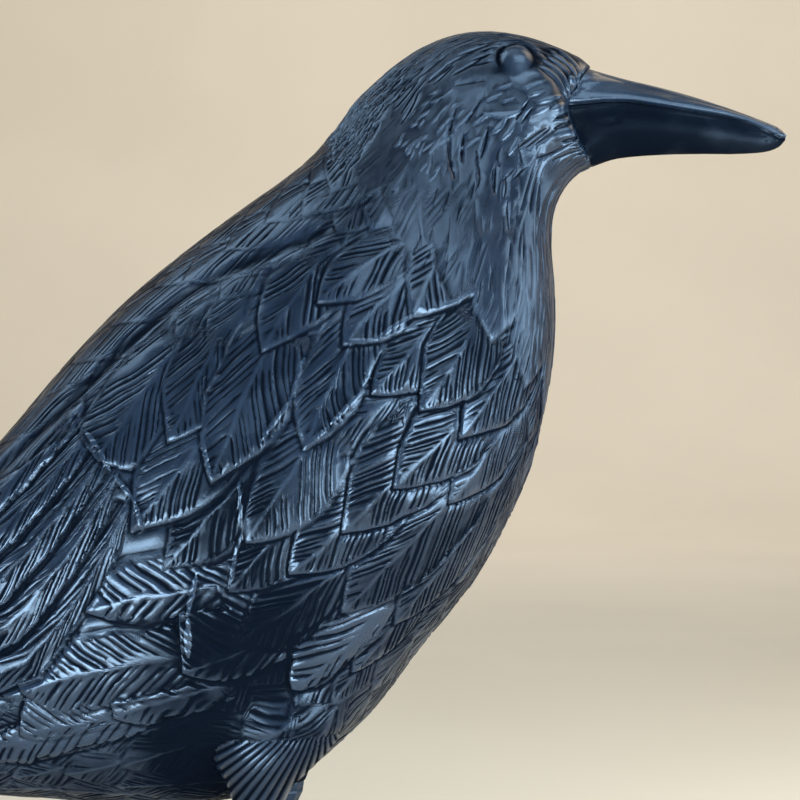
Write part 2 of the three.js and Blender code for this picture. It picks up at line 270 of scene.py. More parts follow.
@dataclass(frozen=True)
class Feather:
    """One carved feather. Its tip is at a place of the skin and it runs forward from there."""

    place: float
    share: float
    length: float
    upper: float
    lower: float
    point: float
    twist: float = 0.0
    bend: float = 0.0
    roundness: float = 1.6
    base: float = 0.0
    lift: float = 0.7 * MM
    camber: float = 0.35 * MM
    slope: float = 0.5 * MM
    margin: float = 0.1 * MM
    ragged: float = 0.9 * MM
    sparse: float = 0.08
    groove: float = 0.8 * MM
    groove_width: float = 0.5 * MM
    quill: float = 0.15 * MM
    barb_pitch: float = 1.2 * MM
    barb_depth: float = 0.36 * MM
    upper_angle: float = 27.0
    lower_angle: float = 29.0
    barb_start: float = 0.0
    # How much paler and glossier the feather is made, as rubbed wear and painted highlight.
    shine: float = 0.0


class Style(Enum):
    """How a feather of the side view is carved."""

    SOFT = "edges that run into its neighbours"
    OUTLINED = "a dark groove round it"
    COARSE = "broad open barbs"
    LONG = "broad barbs and a ragged edge"
    COVERT = "an edge that stands off the flank"


@dataclass(frozen=True)
class Leaf:
    """A feather as the side view shows it, in squares and degrees: its tip, quill, half widths and barbs."""

    x: float
    z: float
    lean: float
    length: float
    upper: float
    lower: float
    pitch: float = 4.5
    tip: float = 0.75
    style: Style = Style.SOFT


@dataclass(frozen=True)
class Mark:
    """A stroke as the side view shows it, in squares, degrees and, for its depth, millimetres."""

    x: float
    z: float
    lean: float
    length: float
    width: float
    height: float
    bend: float = 0.0


@dataclass(frozen=True)
class StrokeField:
    """A stretch of the skin that is filled with staggered strokes."""

    first: float
    last: float
    top: float
    bottom: float
    apart: float
    pace: float
    length: float
    width: float
    depth: float
    stray: float = 6.0
    twist: float = 0.0
    bend: float = 0.05


@dataclass(frozen=True)
class Patch:
    """The part of the net round a feather or stroke, with its own measures."""

    rows: slice
    columns: slice
    along: Array
    across: Array


class Relief:
    """The carving over a skin: how far each point stands out, and the barbs that its finish draws.

    The lengths below are the depth of barbs that its finish draws in full, how much farther from the edge a
    short barb ends, how far from the quill a late one starts, the step between lands, and the quill's width.
    The share is where a feather starts to run out under the next one, and the overrun is how far behind a
    long feather's tip its net reaches.
    """

    FULL_DEPTH = 0.36 * MM
    SHORTER = 1.2 * MM
    LATER = 2.6 * MM
    LAND_STEP = 0.12 * MM
    QUILL_WIDTH = 0.45 * MM
    RUN_OUT = 0.75
    OVERRUN = 8 * MM
    HALVINGS = 10

    def __init__(self, skin: Skin) -> None:
        """Starts with a bare skin.

        Args:
            skin: the skin that is carved.
        """
        self.skin = skin
        shape = skin.points.shape[:2]
        self.height = np.zeros(shape)
        self.swelling = np.zeros(shape)
        # Lines drawn on the skin waver by up to about a quarter of a millimetre.
        x, y, z = np.moveaxis(skin.points / MM, 2, 0)
        self.waver = MM * np.array([
            0.20 * np.sin(x / 2.6 + 1.6 * np.sin(z / 3.4)) + 0.06 * np.sin(z / 1.3 - y / 1.7 + x / 3),
            0.20 * np.sin(z / 2.4 + 1.6 * np.sin(x / 3.7)) + 0.06 * np.sin(x / 1.4 + y / 1.9 - z / 3),
        ])
        self.phase = np.zeros(shape)
        self.depth = np.zeros(shape)
        # How much paler and glossier each point is made, as rubbed wear and painted highlight.
        self.shine = np.zeros(shape)

    def patch(
        self, place: float, share: float, twist: float, length: float, width: float, back: float = 0.0,
    ) -> Patch:
        """The part of the net that a feather or stroke can reach.

        Args:
            place: station place of its rear end.
            share: share of the way round of its rear end.
            twist: degrees that it turns up from the flow of the stations.
            length: its length, forward from its rear end.
            width: its width.
            back: how far behind its rear end it reaches.

        Returns:
            The patch, with the distance along it and across it at each point.
        """
        skin = self.skin
        rows, columns = skin.points.shape[:2]
        i = int(np.clip(skin.row(place), 1, rows - 2))
        j = skin.column(share)
        j_in = int(np.clip(j, 1, columns - 2))
        here = skin.points[i, j]
        fore = skin.points[i + 1, j_in] - skin.points[i - 1, j_in]
        row_step = np.linalg.norm(fore) / 2
        column_step = skin.girth[i] / (columns - 1)
        normal = skin.normals[i, j_in]
        fore = fore - normal * np.dot(fore, normal)
        fore /= np.linalg.norm(fore)
        up = np.cross(normal, fore)
        turn = math.radians(twist)
        fore, up = fore * math.cos(turn) + up * math.sin(turn), up * math.cos(turn) - fore * math.sin(turn)
        reach = 1.3 * (length + width) / row_step
        side = (width + 0.75 * (length + back)) / column_step
        beyond = (share - skin.shares[j]) * skin.girth[i]
        window = (
            slice(max(int(i - (back + width) * 1.4 / row_step), 0), min(int(i + reach), rows)),
            slice(max(int(j - side), 0), min(int(j + side), columns)),
        )
        offset = skin.points[window] - here
        return Patch(*window, offset @ fore, offset @ up + beyond)

    def flow(
        self, place: float, length: float, half_width: float, low: Callable[[Array], Array],
        high: Callable[[Array], Array],
    ) -> Patch:
        """The part of the net between two lines that follow the stations.

        Args:
            place: station place of its rear end.
            length: its length, forward from its rear end.
            half_width: the half width that its measures are given in, whatever the lines' distance.
            low: the share of the way round of its lower edge, at a station place.
            high: the share of the way round of its upper edge, at a station place.

        Returns:
            The patch, with the distance along it and up from its middle at each point.
        """
        skin = self.skin
        start = skin.run_at(place)
        first, last = skin.place_at(start - self.OVERRUN), skin.place_at(start + length)
        rows = slice(skin.row(first), skin.row(last) + 1)
        lower, higher = low(skin.places[rows]), high(skin.places[rows])
        along = np.repeat((skin.run[rows] - start)[:, None], len(skin.shares), axis=1)
        middle = (lower + higher) / 2
        across = (middle[:, None] - skin.shares) / ((lower - higher) / 2)[:, None] * half_width
        return Patch(rows, slice(0, len(skin.shares)), along, across)

    def lay(self, feather: Feather, patch: Patch | None = None) -> None:
        """Lays a feather over what is there.

        Args:
            feather: the feather.
            patch: where it lies, if it follows a line of its own.
        """
        if patch is None:
            width = 2 * max(feather.upper, feather.lower)
            patch = self.patch(feather.place, feather.share, feather.twist, feather.length, width)
        window = (patch.rows, patch.columns)
        along = patch.along + self.waver[0][window]
        across = patch.across + self.waver[1][window]
        across = across - feather.bend * along * np.abs(along) / feather.length
        width = np.where(across > 0, feather.upper, feather.lower)
        spread = np.clip(along / feather.point, 0, 1)
        half = width * (1 - (1 - spread) ** feather.roundness)
        lean = feather.point / np.hypot(width, feather.point)
        inside = (half - np.abs(across)) * np.where(along < feather.point, lean, 1)
        inside = np.where(along > 0, inside, -np.hypot(along, across))
        phase = self.barbs(feather, along, across)
        land = chance(np.floor(phase), feather.barb_start)
        line = chance(np.round(phase), feather.barb_start + 1)
        reach = chance(np.round(phase), feather.barb_start + 2)
        cut = self.barb_cut(phase)
        edge = inside - feather.ragged * (0.65 * land + 0.35 * cut) * smooth(along, 0, feather.point)
        shown = 1 - smooth(along, self.RUN_OUT * feather.length, feather.length)
        mask = smooth(edge, -0.5 * feather.slope, 0.5 * feather.slope) * shown
        margin = feather.margin + self.SHORTER * (1 - line) ** 3
        vane = smooth(inside, margin, margin + 0.8 * MM) * (0.4 + 0.6 * line) * (line > feather.sparse)
        vane = vane * smooth(np.abs(across) - self.LATER * (1 - reach) ** 3, 0.0, 0.9 * MM)
        top = feather.base + feather.lift * (1 - np.clip(along / feather.length, 0, 1)) ** 1.5
        top += self.LAND_STEP * (land - 0.5) * np.sign(feather.barb_depth)
        top -= feather.camber * np.clip(np.abs(across) / width, 0, 1) ** 2
        top += feather.quill * shown * smooth(along, 0, 2 * MM) * bell(across, self.QUILL_WIDTH)
        top -= feather.barb_depth * vane * cut
        valley = bell(inside + feather.groove_width, feather.groove_width) * (inside < 0.2 * MM)
        valley = valley * (1 - smooth(along, 0.5 * feather.length, 0.85 * feather.length))
        under = self.height[window] - feather.groove * valley
        self.height[window] = under * (1 - mask) + top * mask
        self.phase[window] = np.where(mask > 0.5, phase, self.phase[window])
        self.shine[window] = self.shine[window] * (1 - mask) + feather.shine * mask
        inked = vane * min(feather.barb_depth / self.FULL_DEPTH, 1)
        self.depth[window] = self.depth[window] * (1 - np.maximum(mask, valley)) + inked * mask

    @staticmethod
    def barb_cut(phase: Array) -> Array:
        """Returns how deep the barbs are cut: sharp valleys between broad lands."""
        return 1 - np.abs(np.sin(np.pi * phase)) ** 0.6

    def barbs(self, feather: Feather, along: Array, across: Array) -> Array:
        """The barbs of one feather, which run from its quill outwards and back to its edges.

        Args:
            feather: the feather.
            along: distance forward from its tip.
            across: distance up from its quill.

        Returns:
            The barbs' phase, whole in each groove.
        """
        # They lie flatter towards the quill's root, and their spacing is uneven.
        upper = across > 0
        angle = np.radians(np.where(upper, feather.upper_angle, feather.lower_angle))
        angle = angle * (1.12 - 0.25 * np.clip(along / feather.length, 0, 1))
        root = along + np.abs(across) / np.tan(angle) * (1 - 0.08 * np.abs(across) / feather.upper)
        start = feather.barb_start + np.where(upper, 0.0, 0.4)
        count = root * np.sin(angle) / feather.barb_pitch + start
        return count + 0.16 * np.sin(2.3 * count + 9 * start) + 0.25 * np.sin(0.7 * count + 5 * start)

    def swell(self, stub: "Thigh", limit: float, softness: float) -> None:
        """Raises the skin to the side of a stub, with a soft hollow all round it.

        Args:
            stub: the stub.
            limit: the greatest rise.
            softness: how wide the hollow is.
        """
        points, normals = self.skin.points, self.skin.normals
        outside = stub.beyond(points)
        least, most = np.zeros_like(outside), np.full_like(outside, limit)
        for _ in range(self.HALVINGS):
            middle = (least + most) / 2
            within = stub.beyond(points + normals * middle[..., None]) < 0
            least, most = np.where(within, middle, least), np.where(within, most, middle)
        reach = np.where(outside < 0, most, -outside)
        self.swelling += np.minimum((reach + np.sqrt(reach**2 + softness**2)) / 2, limit)

    def mark(self, mark: Mark, shine: float = 0.0) -> None:
        """Cuts or raises a stroke where the side view shows it.

        Args:
            mark: the stroke in the side view.
            shine: how much paler and glossier it is than what is round it, as rubbed wear and painted
                highlight.
        """
        skin = self.skin
        place, share = skin.find(mark.x, mark.z)
        twist, run_scale, width_scale = skin.drawn(place, share, mark.lean)
        square = skin.drawing.square
        length, width = mark.length * square * run_scale, mark.width * square * width_scale
        self.stroke(place, share, twist, length, width, mark.height * MM, mark.bend, shine)

    def stroke(
        self, place: float, share: float, twist: float, length: float, width: float,
        height: float, bend: float = 0.0, shine: float = 0.0,
    ) -> None:
        """Adds a raised or cut stroke, pointed at both ends.

        Args:
            place: station place of its rear end.
            share: share of the way round of its rear end.
            twist: degrees that it turns up from the flow of the stations.
            length: its length, forward from its rear end.
            width: its width.
            height: how far it stands out, or is cut in where negative.
            bend: how far its middle lies off its line, as a share of its length.
            shine: how much paler and glossier it is than what is round it, as rubbed wear and painted
                highlight.
        """
        patch = self.patch(place, share, twist, length, width)
        t = np.clip(patch.along / length, 0, 1)
        across = patch.across - bend * length * 4 * t * (1 - t)
        half = width / 2 * np.maximum(4 * t * (1 - t), 0) ** 0.75 + 1e-9
        body = smooth(1 - (across / half) ** 2, 0, 0.7) * (t > 0) * (t < 1)
        self.height[patch.rows, patch.columns] += height * body
        self.shine[patch.rows, patch.columns] += shine * body


@dataclass
class Plumage:
    """The feathers of the body, in the order in which they are laid."""

    relief: Relief
    draw: random.Random = field(default_factory=partial(random.Random, 7))
    column_share: float = 0.125
    first_share: float = 0.01
    row_pitch: float = 15.5 * MM
    row_origin: float = 8.40
    row_stray: float = 1.6 * MM
    column_stray: float = 0.012
    long_half: float = 5.5 * MM
    long_tip: float = 2.6
    long_tip_step: float = 0.4
    valley_depth: float = 1.1 * MM
    valley_width: float = 2.2 * MM

    FLANK = (
        Leaf(485, 270, 15, 180, 15, 25, 8.0, style=Style.COARSE),
        Leaf(535, 290, 15, 105, 35, 10, 6.0, 0.5, style=Style.COARSE),
        Leaf(625, 310, 20, 100, 60, 20, 8.0, 0.4, style=Style.COARSE),
        Leaf(535, 335, 15, 150, 35, 35, 6.0, 0.6, style=Style.COARSE),
        Leaf(695, 355, 20, 95, 85, 25, 8.0, 0.4, style=Style.COARSE),
        Leaf(745, 380, 35, 135, 45, 55, 6.0),
        Leaf(600, 410, 15, 120, 40, 25, 8.0, style=Style.COARSE),
        Leaf(845, 350, 45, 120, 25, 20, 5.0),
        Leaf(792, 338, 34, 110, 32, 14, 7.5, 0.6, style=Style.LONG),
        Leaf(885, 395, 50, 150, 25, 25, 5.0),
        Leaf(840, 410, 45, 150, 35, 40),
        Leaf(940, 510, 50, 90, 30, 30, style=Style.OUTLINED),
        Leaf(680, 450, 50, 120, 30, 40, 5.5),
        Leaf(740, 430, 50, 95, 25, 40, 5.5),
        Leaf(795, 445, 40, 130, 45, 35, style=Style.OUTLINED),
        Leaf(810, 560, 30, 90, 25, 30, 4.0, style=Style.OUTLINED),
        Leaf(845, 485, 45, 100, 45, 40, style=Style.OUTLINED),
        Leaf(890, 525, 45, 85, 35, 40, style=Style.OUTLINED),
        Leaf(870, 610, 50, 105, 25, 45, style=Style.OUTLINED),
        Leaf(950, 570, 55, 100, 30, 40, 5.5, style=Style.OUTLINED),
        Leaf(915, 595, 55, 90, 30, 40, style=Style.OUTLINED),
    )
    WING = (
        Leaf(650, 485, 55, 120, 40, 45, style=Style.COVERT),
        Leaf(755, 475, 55, 115, 30, 45, style=Style.COVERT),
        Leaf(615, 550, 55, 120, 40, 35, 4.5, 0.2, style=Style.COVERT),
        Leaf(685, 565, 65, 95, 35, 35, style=Style.COVERT),
        Leaf(725, 530, 70, 135, 35, 45, 5.0, style=Style.COVERT),
        Leaf(810, 560, 70, 115, 30, 30, style=Style.COVERT),
        Leaf(770, 650, 60, 85, 35, 35, 5.0, style=Style.COVERT),
        Leaf(845, 655, 50, 85, 35, 40, 5.5, style=Style.COVERT),
        Leaf(820, 695, 40, 85, 25, 25, style=Style.COVERT),
        Leaf(905, 680, 65, 100, 30, 55, 5.5, style=Style.COVERT),
    )
    RIDGES = (
        Mark(754, 476, 93, 57, 4, 0.35),
        Mark(740, 433, 78, 42, 4, 0.35),
        Mark(727, 530, 104, 49, 4, 0.3),
        Mark(700, 368, 88, 38, 8, 0.4),
        Mark(701, 406, 76, 42, 6, 0.4),
        Mark(660, 485, 105, 28, 5, 0.3),
        Mark(653, 512, 131, 37, 5, 0.3),
        Mark(629, 540, 121, 23, 5, 0.3),
        Mark(617, 560, 135, 24, 5, 0.3),
        Mark(846, 658, 6, 28, 5, 0.25),
        Mark(873, 661, 34, 45, 5, 0.25),
        Mark(808, 560, 42, 34, 5, 0.25),
        Mark(833, 582, 46, 45, 5, 0.25),
        Mark(771, 569, 54, 45, 5, 0.25),
        Mark(797, 605, 73, 43, 5, 0.25),
    )
    LONG_FEATHERS = 5
    STYLES = {
        Style.SOFT: {"lift": 0.2 * MM, "groove": 0.3 * MM, "ragged": 2.4 * MM, "slope": 0.8 * MM},
        Style.OUTLINED: {
            "lift": 0.28 * MM, "groove": 0.75 * MM, "groove_width": 0.45 * MM, "ragged": 1.2 * MM,
        },
        Style.COARSE: {
            "base": 0.1 * MM, "upper_angle": 48, "lower_angle": 36, "barb_depth": 0.5 * MM,
            "groove": 0.3 * MM, "ragged": 2.2 * MM, "shine": 0.3,
        },
        Style.LONG: {
            "base": 0.1 * MM, "upper_angle": 26, "barb_depth": 0.7 * MM, "groove": 0.4 * MM,
            "ragged": 3.2 * MM, "shine": 0.5, "margin": 0, "sparse": 0, "camber": 0.2 * MM,
        },
        Style.COVERT: {
            "base": 0.25 * MM, "lift": 0.45 * MM, "slope": 1.0 * MM, "margin": 0.5 * MM, "groove": 0.22 * MM,
            "ragged": 0.7 * MM, "barb_depth": 0.32 * MM, "sparse": 0.25, "shine": 0.08,
        },
    }

    def around(self, value: float, spread: float) -> float:
        """Returns a value near the one given, off by at most a share of it."""
        return value * (1 + self.draw.uniform(-spread, spread))

    def lattice(self, first: float, last: float) -> list[tuple[float, float]]:
        """The places of the feathers' tips, staggered row by row.

        Args:
            first: the station place where the rows start.
            last: the station place where they end.

        Returns:
            Each tip's station place and share, from the tail forward.
        """
        skin = self.relief.skin
        origin = skin.run_at(self.row_origin)
        low = math.ceil((skin.run_at(first) - origin) / (self.row_pitch / 2))
        high = math.floor((skin.run_at(last) - origin) / (self.row_pitch / 2))
        tips = []
        for row in range(low, high + 1):
            for column in range(-1, round(1 / self.column_share) + 1):
                share = self.first_share + self.column_share * (column + row % 2 / 2)
                share += self.draw.uniform(-self.column_stray, self.column_stray)
                run = origin + row * self.row_pitch / 2 + self.draw.uniform(-self.row_stray, self.row_stray)
                if -0.04 < share < 1.04:
                    tips.append((skin.place_at(run), share))
        return sorted(tips)

    def mantle_edge(self, place: float) -> float:
        """Returns the share of the valley between the mantle and the wing."""
        return 0.212 + 0.085 * float(smooth(place, 8.4, 11.5))

    def common(self, place: float, share: float, **changes: Any) -> None:
        """Lays one feather of the even rows.

        Args:
            place: station place of its tip.
            share: share of the way round of its tip.
            changes: what differs from the usual feather.
        """
        half = self.relief.skin.girth_at(place) * self.column_share * 0.62
        facts = {
            "length": self.around(self.row_pitch * 2.2, 0.08),
            "upper": self.around(half, 0.1),
            "lower": self.around(half, 0.1),
            "twist": self.draw.uniform(-9, 9),
            "bend": self.draw.uniform(-0.14, 0.14),
            "barb_pitch": self.around(1.3 * MM, 0.15),
            "barb_start": self.draw.random(),
            "upper_angle": self.draw.uniform(24, 34),
            "lower_angle": self.draw.uniform(26, 36),
            "point": half * 1.5,
        }
        self.relief.lay(Feather(place=place, share=share, **(facts | changes)))

    def leaf(self, leaf: Leaf) -> None:
        """Lays one feather where the side view shows it.

        Args:
            leaf: the feather in the side view.
        """
        skin = self.relief.skin
        place, share = skin.find(leaf.x, leaf.z)
        twist, run_scale, width_scale = skin.drawn(place, share, leaf.lean)
        square = skin.drawing.square
        facts = {
            "length": leaf.length * square * run_scale * 1.25,
            "upper": leaf.upper * square * width_scale,
            "lower": leaf.lower * square * width_scale,
            "point": 1.2 * leaf.tip * (leaf.upper + leaf.lower) * square * width_scale,
            "roundness": 1.6 if leaf.tip > 0.6 else 2.4,
            "twist": twist,
            "bend": self.draw.uniform(-0.09, 0.05),
            "barb_pitch": leaf.pitch * square,
            "barb_start": self.draw.random(),
            "upper_angle": self.draw.uniform(25, 31),
            "lower_angle": self.draw.uniform(26, 32),
        }
        self.relief.lay(Feather(place=place, share=share, **(facts | self.STYLES[leaf.style])))

    def flank(self) -> None:
        """Lays the feathers of the flank and belly."""
        for place, share in self.lattice(4.2, 12.3):
            if share > 0.60:
                self.common(
                    place, share, base=-0.4 * MM, lift=0.1 * MM, groove=0.06 * MM, barb_depth=0.25 * MM,
                    slope=1.1 * MM, ragged=2 * MM,
                )
        for leaf in self.FLANK:
            self.leaf(leaf)

    def feather_edge(self, number: float, place: Array) -> Array:
        """The groove between two of the wing's long feathers.

        Args:
            number: which groove, counted up from the lowest.
            place: the station places where it is read.

        Returns:
            Its share of the way round at each place.
        """
        behind = np.maximum(7 - place, -1.0)
        behind = np.minimum(behind, 1.2) + 0.2 * np.maximum(behind - 1.2, 0)
        return 0.445 - 0.044 * number + (0.096 - 0.018 * number) * behind

    def primaries(self) -> None:
        """Lays the long feathers that run from the wing over the tail."""
        skin = self.relief.skin
        half = self.long_half
        for number in range(self.LONG_FEATHERS):
            tip = self.long_tip + self.long_tip_step * number
            feather = Feather(
                place=tip, share=0.5, length=skin.run_at(8.2) - skin.run_at(tip), upper=half, lower=half,
                point=20 * MM, roundness=1.9, base=(0.4 + 0.12 * number) * MM, lift=0.3 * MM, groove=1.5 * MM,
                groove_width=0.8 * MM, camber=0.5 * MM, upper_angle=13, lower_angle=27, barb_pitch=1.3 * MM,
                barb_depth=0.5 * MM, barb_start=self.draw.random(),
            )
            low, high = partial(self.feather_edge, number), partial(self.feather_edge, number + 1)
            self.relief.lay(feather, self.relief.flow(tip, feather.length, half, low, high))

    def wing(self) -> None:
        """Lays the wing's coverts, whose lower edges stand off the flank."""
        for place, share in self.lattice(6.9, 12.2):
            if self.mantle_edge(place) - 0.06 < share < 0.42:
                self.common(
                    place, share, base=0.2 * MM, lift=0.1 * MM, groove=0.08 * MM, barb_depth=0.2 * MM,
                    upper_angle=13, lower_angle=15, quill=0, slope=1.2 * MM, camber=0.1 * MM, ragged=2 * MM,
                )
        for leaf in self.WING:
            self.leaf(leaf)

    def mantle(self) -> None:
        """Lays the feathers of the back, and cuts the valley beside them."""
        for place, share in self.lattice(3.2, 13.0):
            if share < self.mantle_edge(place) - 0.02:
                self.common(
                    place, share, base=0.3 * MM, upper_angle=12, lower_angle=14, lift=0.12 * MM,
                    barb_pitch=self.around(1.5 * MM, 0.1), barb_depth=0.25 * MM, groove=0.1 * MM, quill=0,
                    slope=1.0 * MM, camber=0.1 * MM, ragged=2 * MM, shine=0.06,
                )
        relief = self.relief
        for i, place in enumerate(relief.skin.places):
            strength = smooth(place, 3.5, 5.0) * (1 - smooth(place, 11.0, 11.8))
            off = (relief.skin.shares - self.mantle_edge(place)) * relief.skin.girth[i]
            valley = strength * bell(off, self.valley_width)
            relief.height[i] -= self.valley_depth * valley
            relief.depth[i] *= 1 - 0.7 * valley

    def tail(self) -> None:
        """Lays the tail's long feathers."""
        for layer, shares in enumerate(([0.9, 0.75, 0.6], [0.5, 0.36, 0.22, 0.08])):
            for number, share in enumerate(shares):
                tip = 0.25 + 0.12 * number
                feather = Feather(
                    place=tip, share=share, length=110 * MM, upper=7 * MM, lower=7 * MM, point=9 * MM,
                    roundness=2.0, base=0.2 * MM * layer, lift=0.5 * MM, camber=0.5 * MM, groove=0.8 * MM,
                    upper_angle=24, lower_angle=24, barb_pitch=1.4 * MM,
                )
                low = partial(np.full_like, fill_value=share + 0.08)
                high = partial(np.full_like, fill_value=share - 0.08)
                self.relief.lay(feather, self.relief.flow(tip, feather.length, feather.upper, low, high))

    def breast(self) -> None:
        """Lays the faint feathers of the shoulder and breast."""
        for place, share in self.lattice(12.3, 15.2):
            fade = 1 - float(smooth(place, 12.6, 15.2))
            self.common(
                place, share, lift=0.15 * fade * MM, groove=0, slope=1.4 * MM, ragged=2 * MM, shine=0.04,
                barb_depth=0.10 * fade * MM, quill=0, upper_angle=13, lower_angle=15, camber=0.05 * MM,
            )

    FIELDS = [
        StrokeField(12.6, 16.6, 0.00, 0.26, 1.4 * MM, 5.0 * MM, 4.5 * MM, 0.7 * MM, -0.26 * MM, 9.0, -6.0),
        StrokeField(16.0, 21.2, 0.00, 0.33, 1.9 * MM, 12.0 * MM, 10.0 * MM, 0.7 * MM, -0.32 * MM, 4.0),
        StrokeField(14.6, 17.4, 0.34, 0.46, 3.0 * MM, 5.0 * MM, 3.4 * MM, 0.9 * MM, 0.15 * MM, 12.0, -14.0),
        StrokeField(12.8, 15.8, 0.46, 0.72, 6.0 * MM, 11.0 * MM, 7.0 * MM, 0.6 * MM, -0.12 * MM, 9.0),
        StrokeField(12.3, 16.8, 0.72, 1.00, 4.4 * MM, 16.0 * MM, 14.0 * MM, 0.7 * MM, -0.10 * MM, 4.0),
        StrokeField(
            15.6, 16.7, 0.46, 0.74, 6.0 * MM, 14.0 * MM, 9.5 * MM, 0.8 * MM, -0.30 * MM, 7.0, 8.0, 0.12,
        ),
        StrokeField(19.0, 23.2, 0.76, 1.00, 3.2 * MM, 9.0 * MM, 8.0 * MM, 0.8 * MM, -0.14 * MM, 6.0),
    ]

    def strokes(self) -> None:
        """Cuts and raises the fine strokes of the neck and head."""
        skin = self.relief.skin
        for zone in self.FIELDS:
            run = skin.run_at(zone.first)
            row = 0
            while run < skin.run_at(zone.last):
                place = skin.place_at(run)
                width = skin.girth_at(place)
                share = zone.top + (row % 2) * zone.apart / width / 2
                while share < zone.bottom:
                    shift = self.draw.uniform(-0.35, 0.35)
                    # Raised strokes are made paler and glossier: rubbed wear and painted highlight.
                    self.relief.stroke(
                        skin.place_at(run + shift * zone.pace),
                        share + self.draw.uniform(-0.25, 0.25) * zone.apart / width,
                        zone.twist + self.draw.uniform(-zone.stray, zone.stray),
                        self.around(zone.length, 0.3), self.around(zone.width, 0.25),
                        self.around(zone.depth, 0.4), self.draw.uniform(-zone.bend, zone.bend),
                        0.4 if zone.depth > 0 else 0.0,
                    )
                    share += zone.apart / width
                run += zone.pace / 2
                row += 1

    def grow(self) -> None:
        """Lays every group of feathers, from the tail forward."""
        self.tail()
        self.flank()
        self.primaries()
        self.wing()
        self.mantle()
        self.breast()
        for ridge in self.RIDGES:
            # Each ridge is made fully paler and glossier: rubbed wear and painted highlight.
            self.relief.mark(ridge, 1.0)
        self.strokes()


@dataclass
class Face:
    """The eye with its lids and brow, and the bristles over the beak's root."""

    relief: Relief
    eye_x: float = 998.0
    eye_z: float = 934.0
    cap: float = 4.4 * MM
    ball: float = 5.4 * MM
    sunk: float = 0.35 * MM
    crease_depth: float = 1.0 * MM
    crease_width: float = 0.5 * MM
    lid_height: float = 0.5 * MM
    lid_reach: float = 6.6 * MM
    bristle_count: int = 5

    CUTS = (
        Mark(943, 812, 94, 62, 4, -0.25, 0.08),
        Mark(965, 816, 98, 28, 3, -0.2),
        Mark(984, 825, 88, 22, 3, -0.15, 0.15),
        Mark(1005, 830, 102, 20, 3, -0.2),
        Mark(997, 870, 58, 27, 3, -0.35),
        Mark(1003, 868, 56, 22, 3, -0.25),
        Mark(1000, 845, 40, 34, 3, -0.3),
        Mark(1008, 846, 42, 30, 3, -0.3),
        Mark(1017, 850, 38, 27, 3, -0.3),
        Mark(1018, 838, 28, 40, 3, -0.3, -0.05),
        Mark(1032, 836, 27, 32, 3, -0.25),
        Mark(1036, 875, 18, 20, 6, -0.4),
        Mark(1034, 865, 18, 25, 7, -0.45),
        Mark(1042, 854, 12, 22, 5, -0.4),
        Mark(985, 812, 48, 18, 3, -0.2),
        Mark(995, 814, 48, 20, 3, -0.2),
        Mark(1012, 785, 86, 45, 3, -0.2),
        Mark(1020, 780, 92, 40, 3, -0.2),
        Mark(952, 925, 14, 34, 3, -0.25),
        Mark(940, 905, 10, 30, 3, -0.2),
    )
    LENSES = (
        Mark(997, 912, 20, 22, 5, 0.18),
        Mark(977, 901, 20, 22, 5, 0.18),
        Mark(1002, 902, 22, 29, 6, 0.18),
        Mark(967, 889, 27, 21, 5, 0.18),
        Mark(983, 889, 20, 16, 4, 0.16),
        Mark(1009, 895, 22, 20, 5, 0.18),
        Mark(1018, 889, 20, 28, 6, 0.18),
        Mark(966, 880, 4, 40, 8, 0.18, -0.1),
        Mark(1010, 876, 27, 24, 7, 0.18),
        Mark(1031, 882, 25, 21, 7, 0.18),
        Mark(1036, 857, 16, 28, 5, 0.15),
        Mark(973, 858, 50, 26, 7, 0.2, -0.1),
        Mark(982, 851, 56, 28, 6, 0.18, -0.1),
        Mark(958, 866, 40, 20, 6, 0.18),
        Mark(946, 842, 33, 24, 5, 0.16),
        Mark(940, 862, 43, 22, 5, 0.16),
        Mark(926, 846, 40, 18, 5, 0.16),
        Mark(992, 838, 62, 22, 5, 0.16),
    )

    def eye(self) -> None:
        """Raises the eye in its sunk ring."""
        place, share = self.relief.skin.find(self.eye_x, self.eye_z)
        patch = self.relief.patch(place, share, 0, 14 * MM, 10 * MM, 14 * MM)
        window = (patch.rows, patch.columns)
        reach = np.hypot(patch.along, patch.across)
        clear = smooth(reach, 5.0 * MM, 8.0 * MM)
        height = self.relief.height[window] * clear
        behind = smooth(0.7 * patch.across - patch.along, 1.5 * MM, 4.5 * MM)
        before = 0.2 * smooth(patch.along, 1.5 * MM, 4.4 * MM)
        crease = bell(reach - self.cap - 0.2 * MM, self.crease_width)
        height -= self.crease_depth * (behind + before) * crease
        lid = bell(reach - self.lid_reach, 1.2 * MM)
        height += self.lid_height * lid * smooth(patch.across, -1 * MM, 4 * MM)
        dome = np.sqrt(np.maximum(self.ball**2 - reach**2, 0)) - math.sqrt(self.ball**2 - self.cap**2)
        dome = np.where(reach < self.ball, dome, -9 * MM) - self.sunk
        softness = (0.2 + 0.9 * (1 - behind)) * MM
        self.relief.height[window] = (height + dome + np.sqrt((height - dome) ** 2 + softness**2)) / 2

    def cheek(self) -> None:
        """Raises the slanting short feathers below the eye, and cuts the longer ones round them."""
        for cut in self.CUTS:
            self.relief.mark(cut)
        for lens in self.LENSES:
            # The lenses are made paler and glossier: rubbed wear and painted highlight.
            self.relief.mark(lens, 0.5)

    def bristles(self) -> None:
        """Raises the smooth bristle ridges that run from before the eye down to the beak's root."""
        for number in range(self.bristle_count):
            x, z = 1017 + 4.5 * number, 929 + 5.0 * number
            self.relief.mark(Mark(x, z, -33 - number, 44, 7, 0.35, 0.06))
            self.relief.mark(Mark(x + 1, z - 4, -34 - number, 42, 4, -0.3, 0.06))
        self.relief.mark(Mark(1048, 918, -30, 20, 13, 0.5))

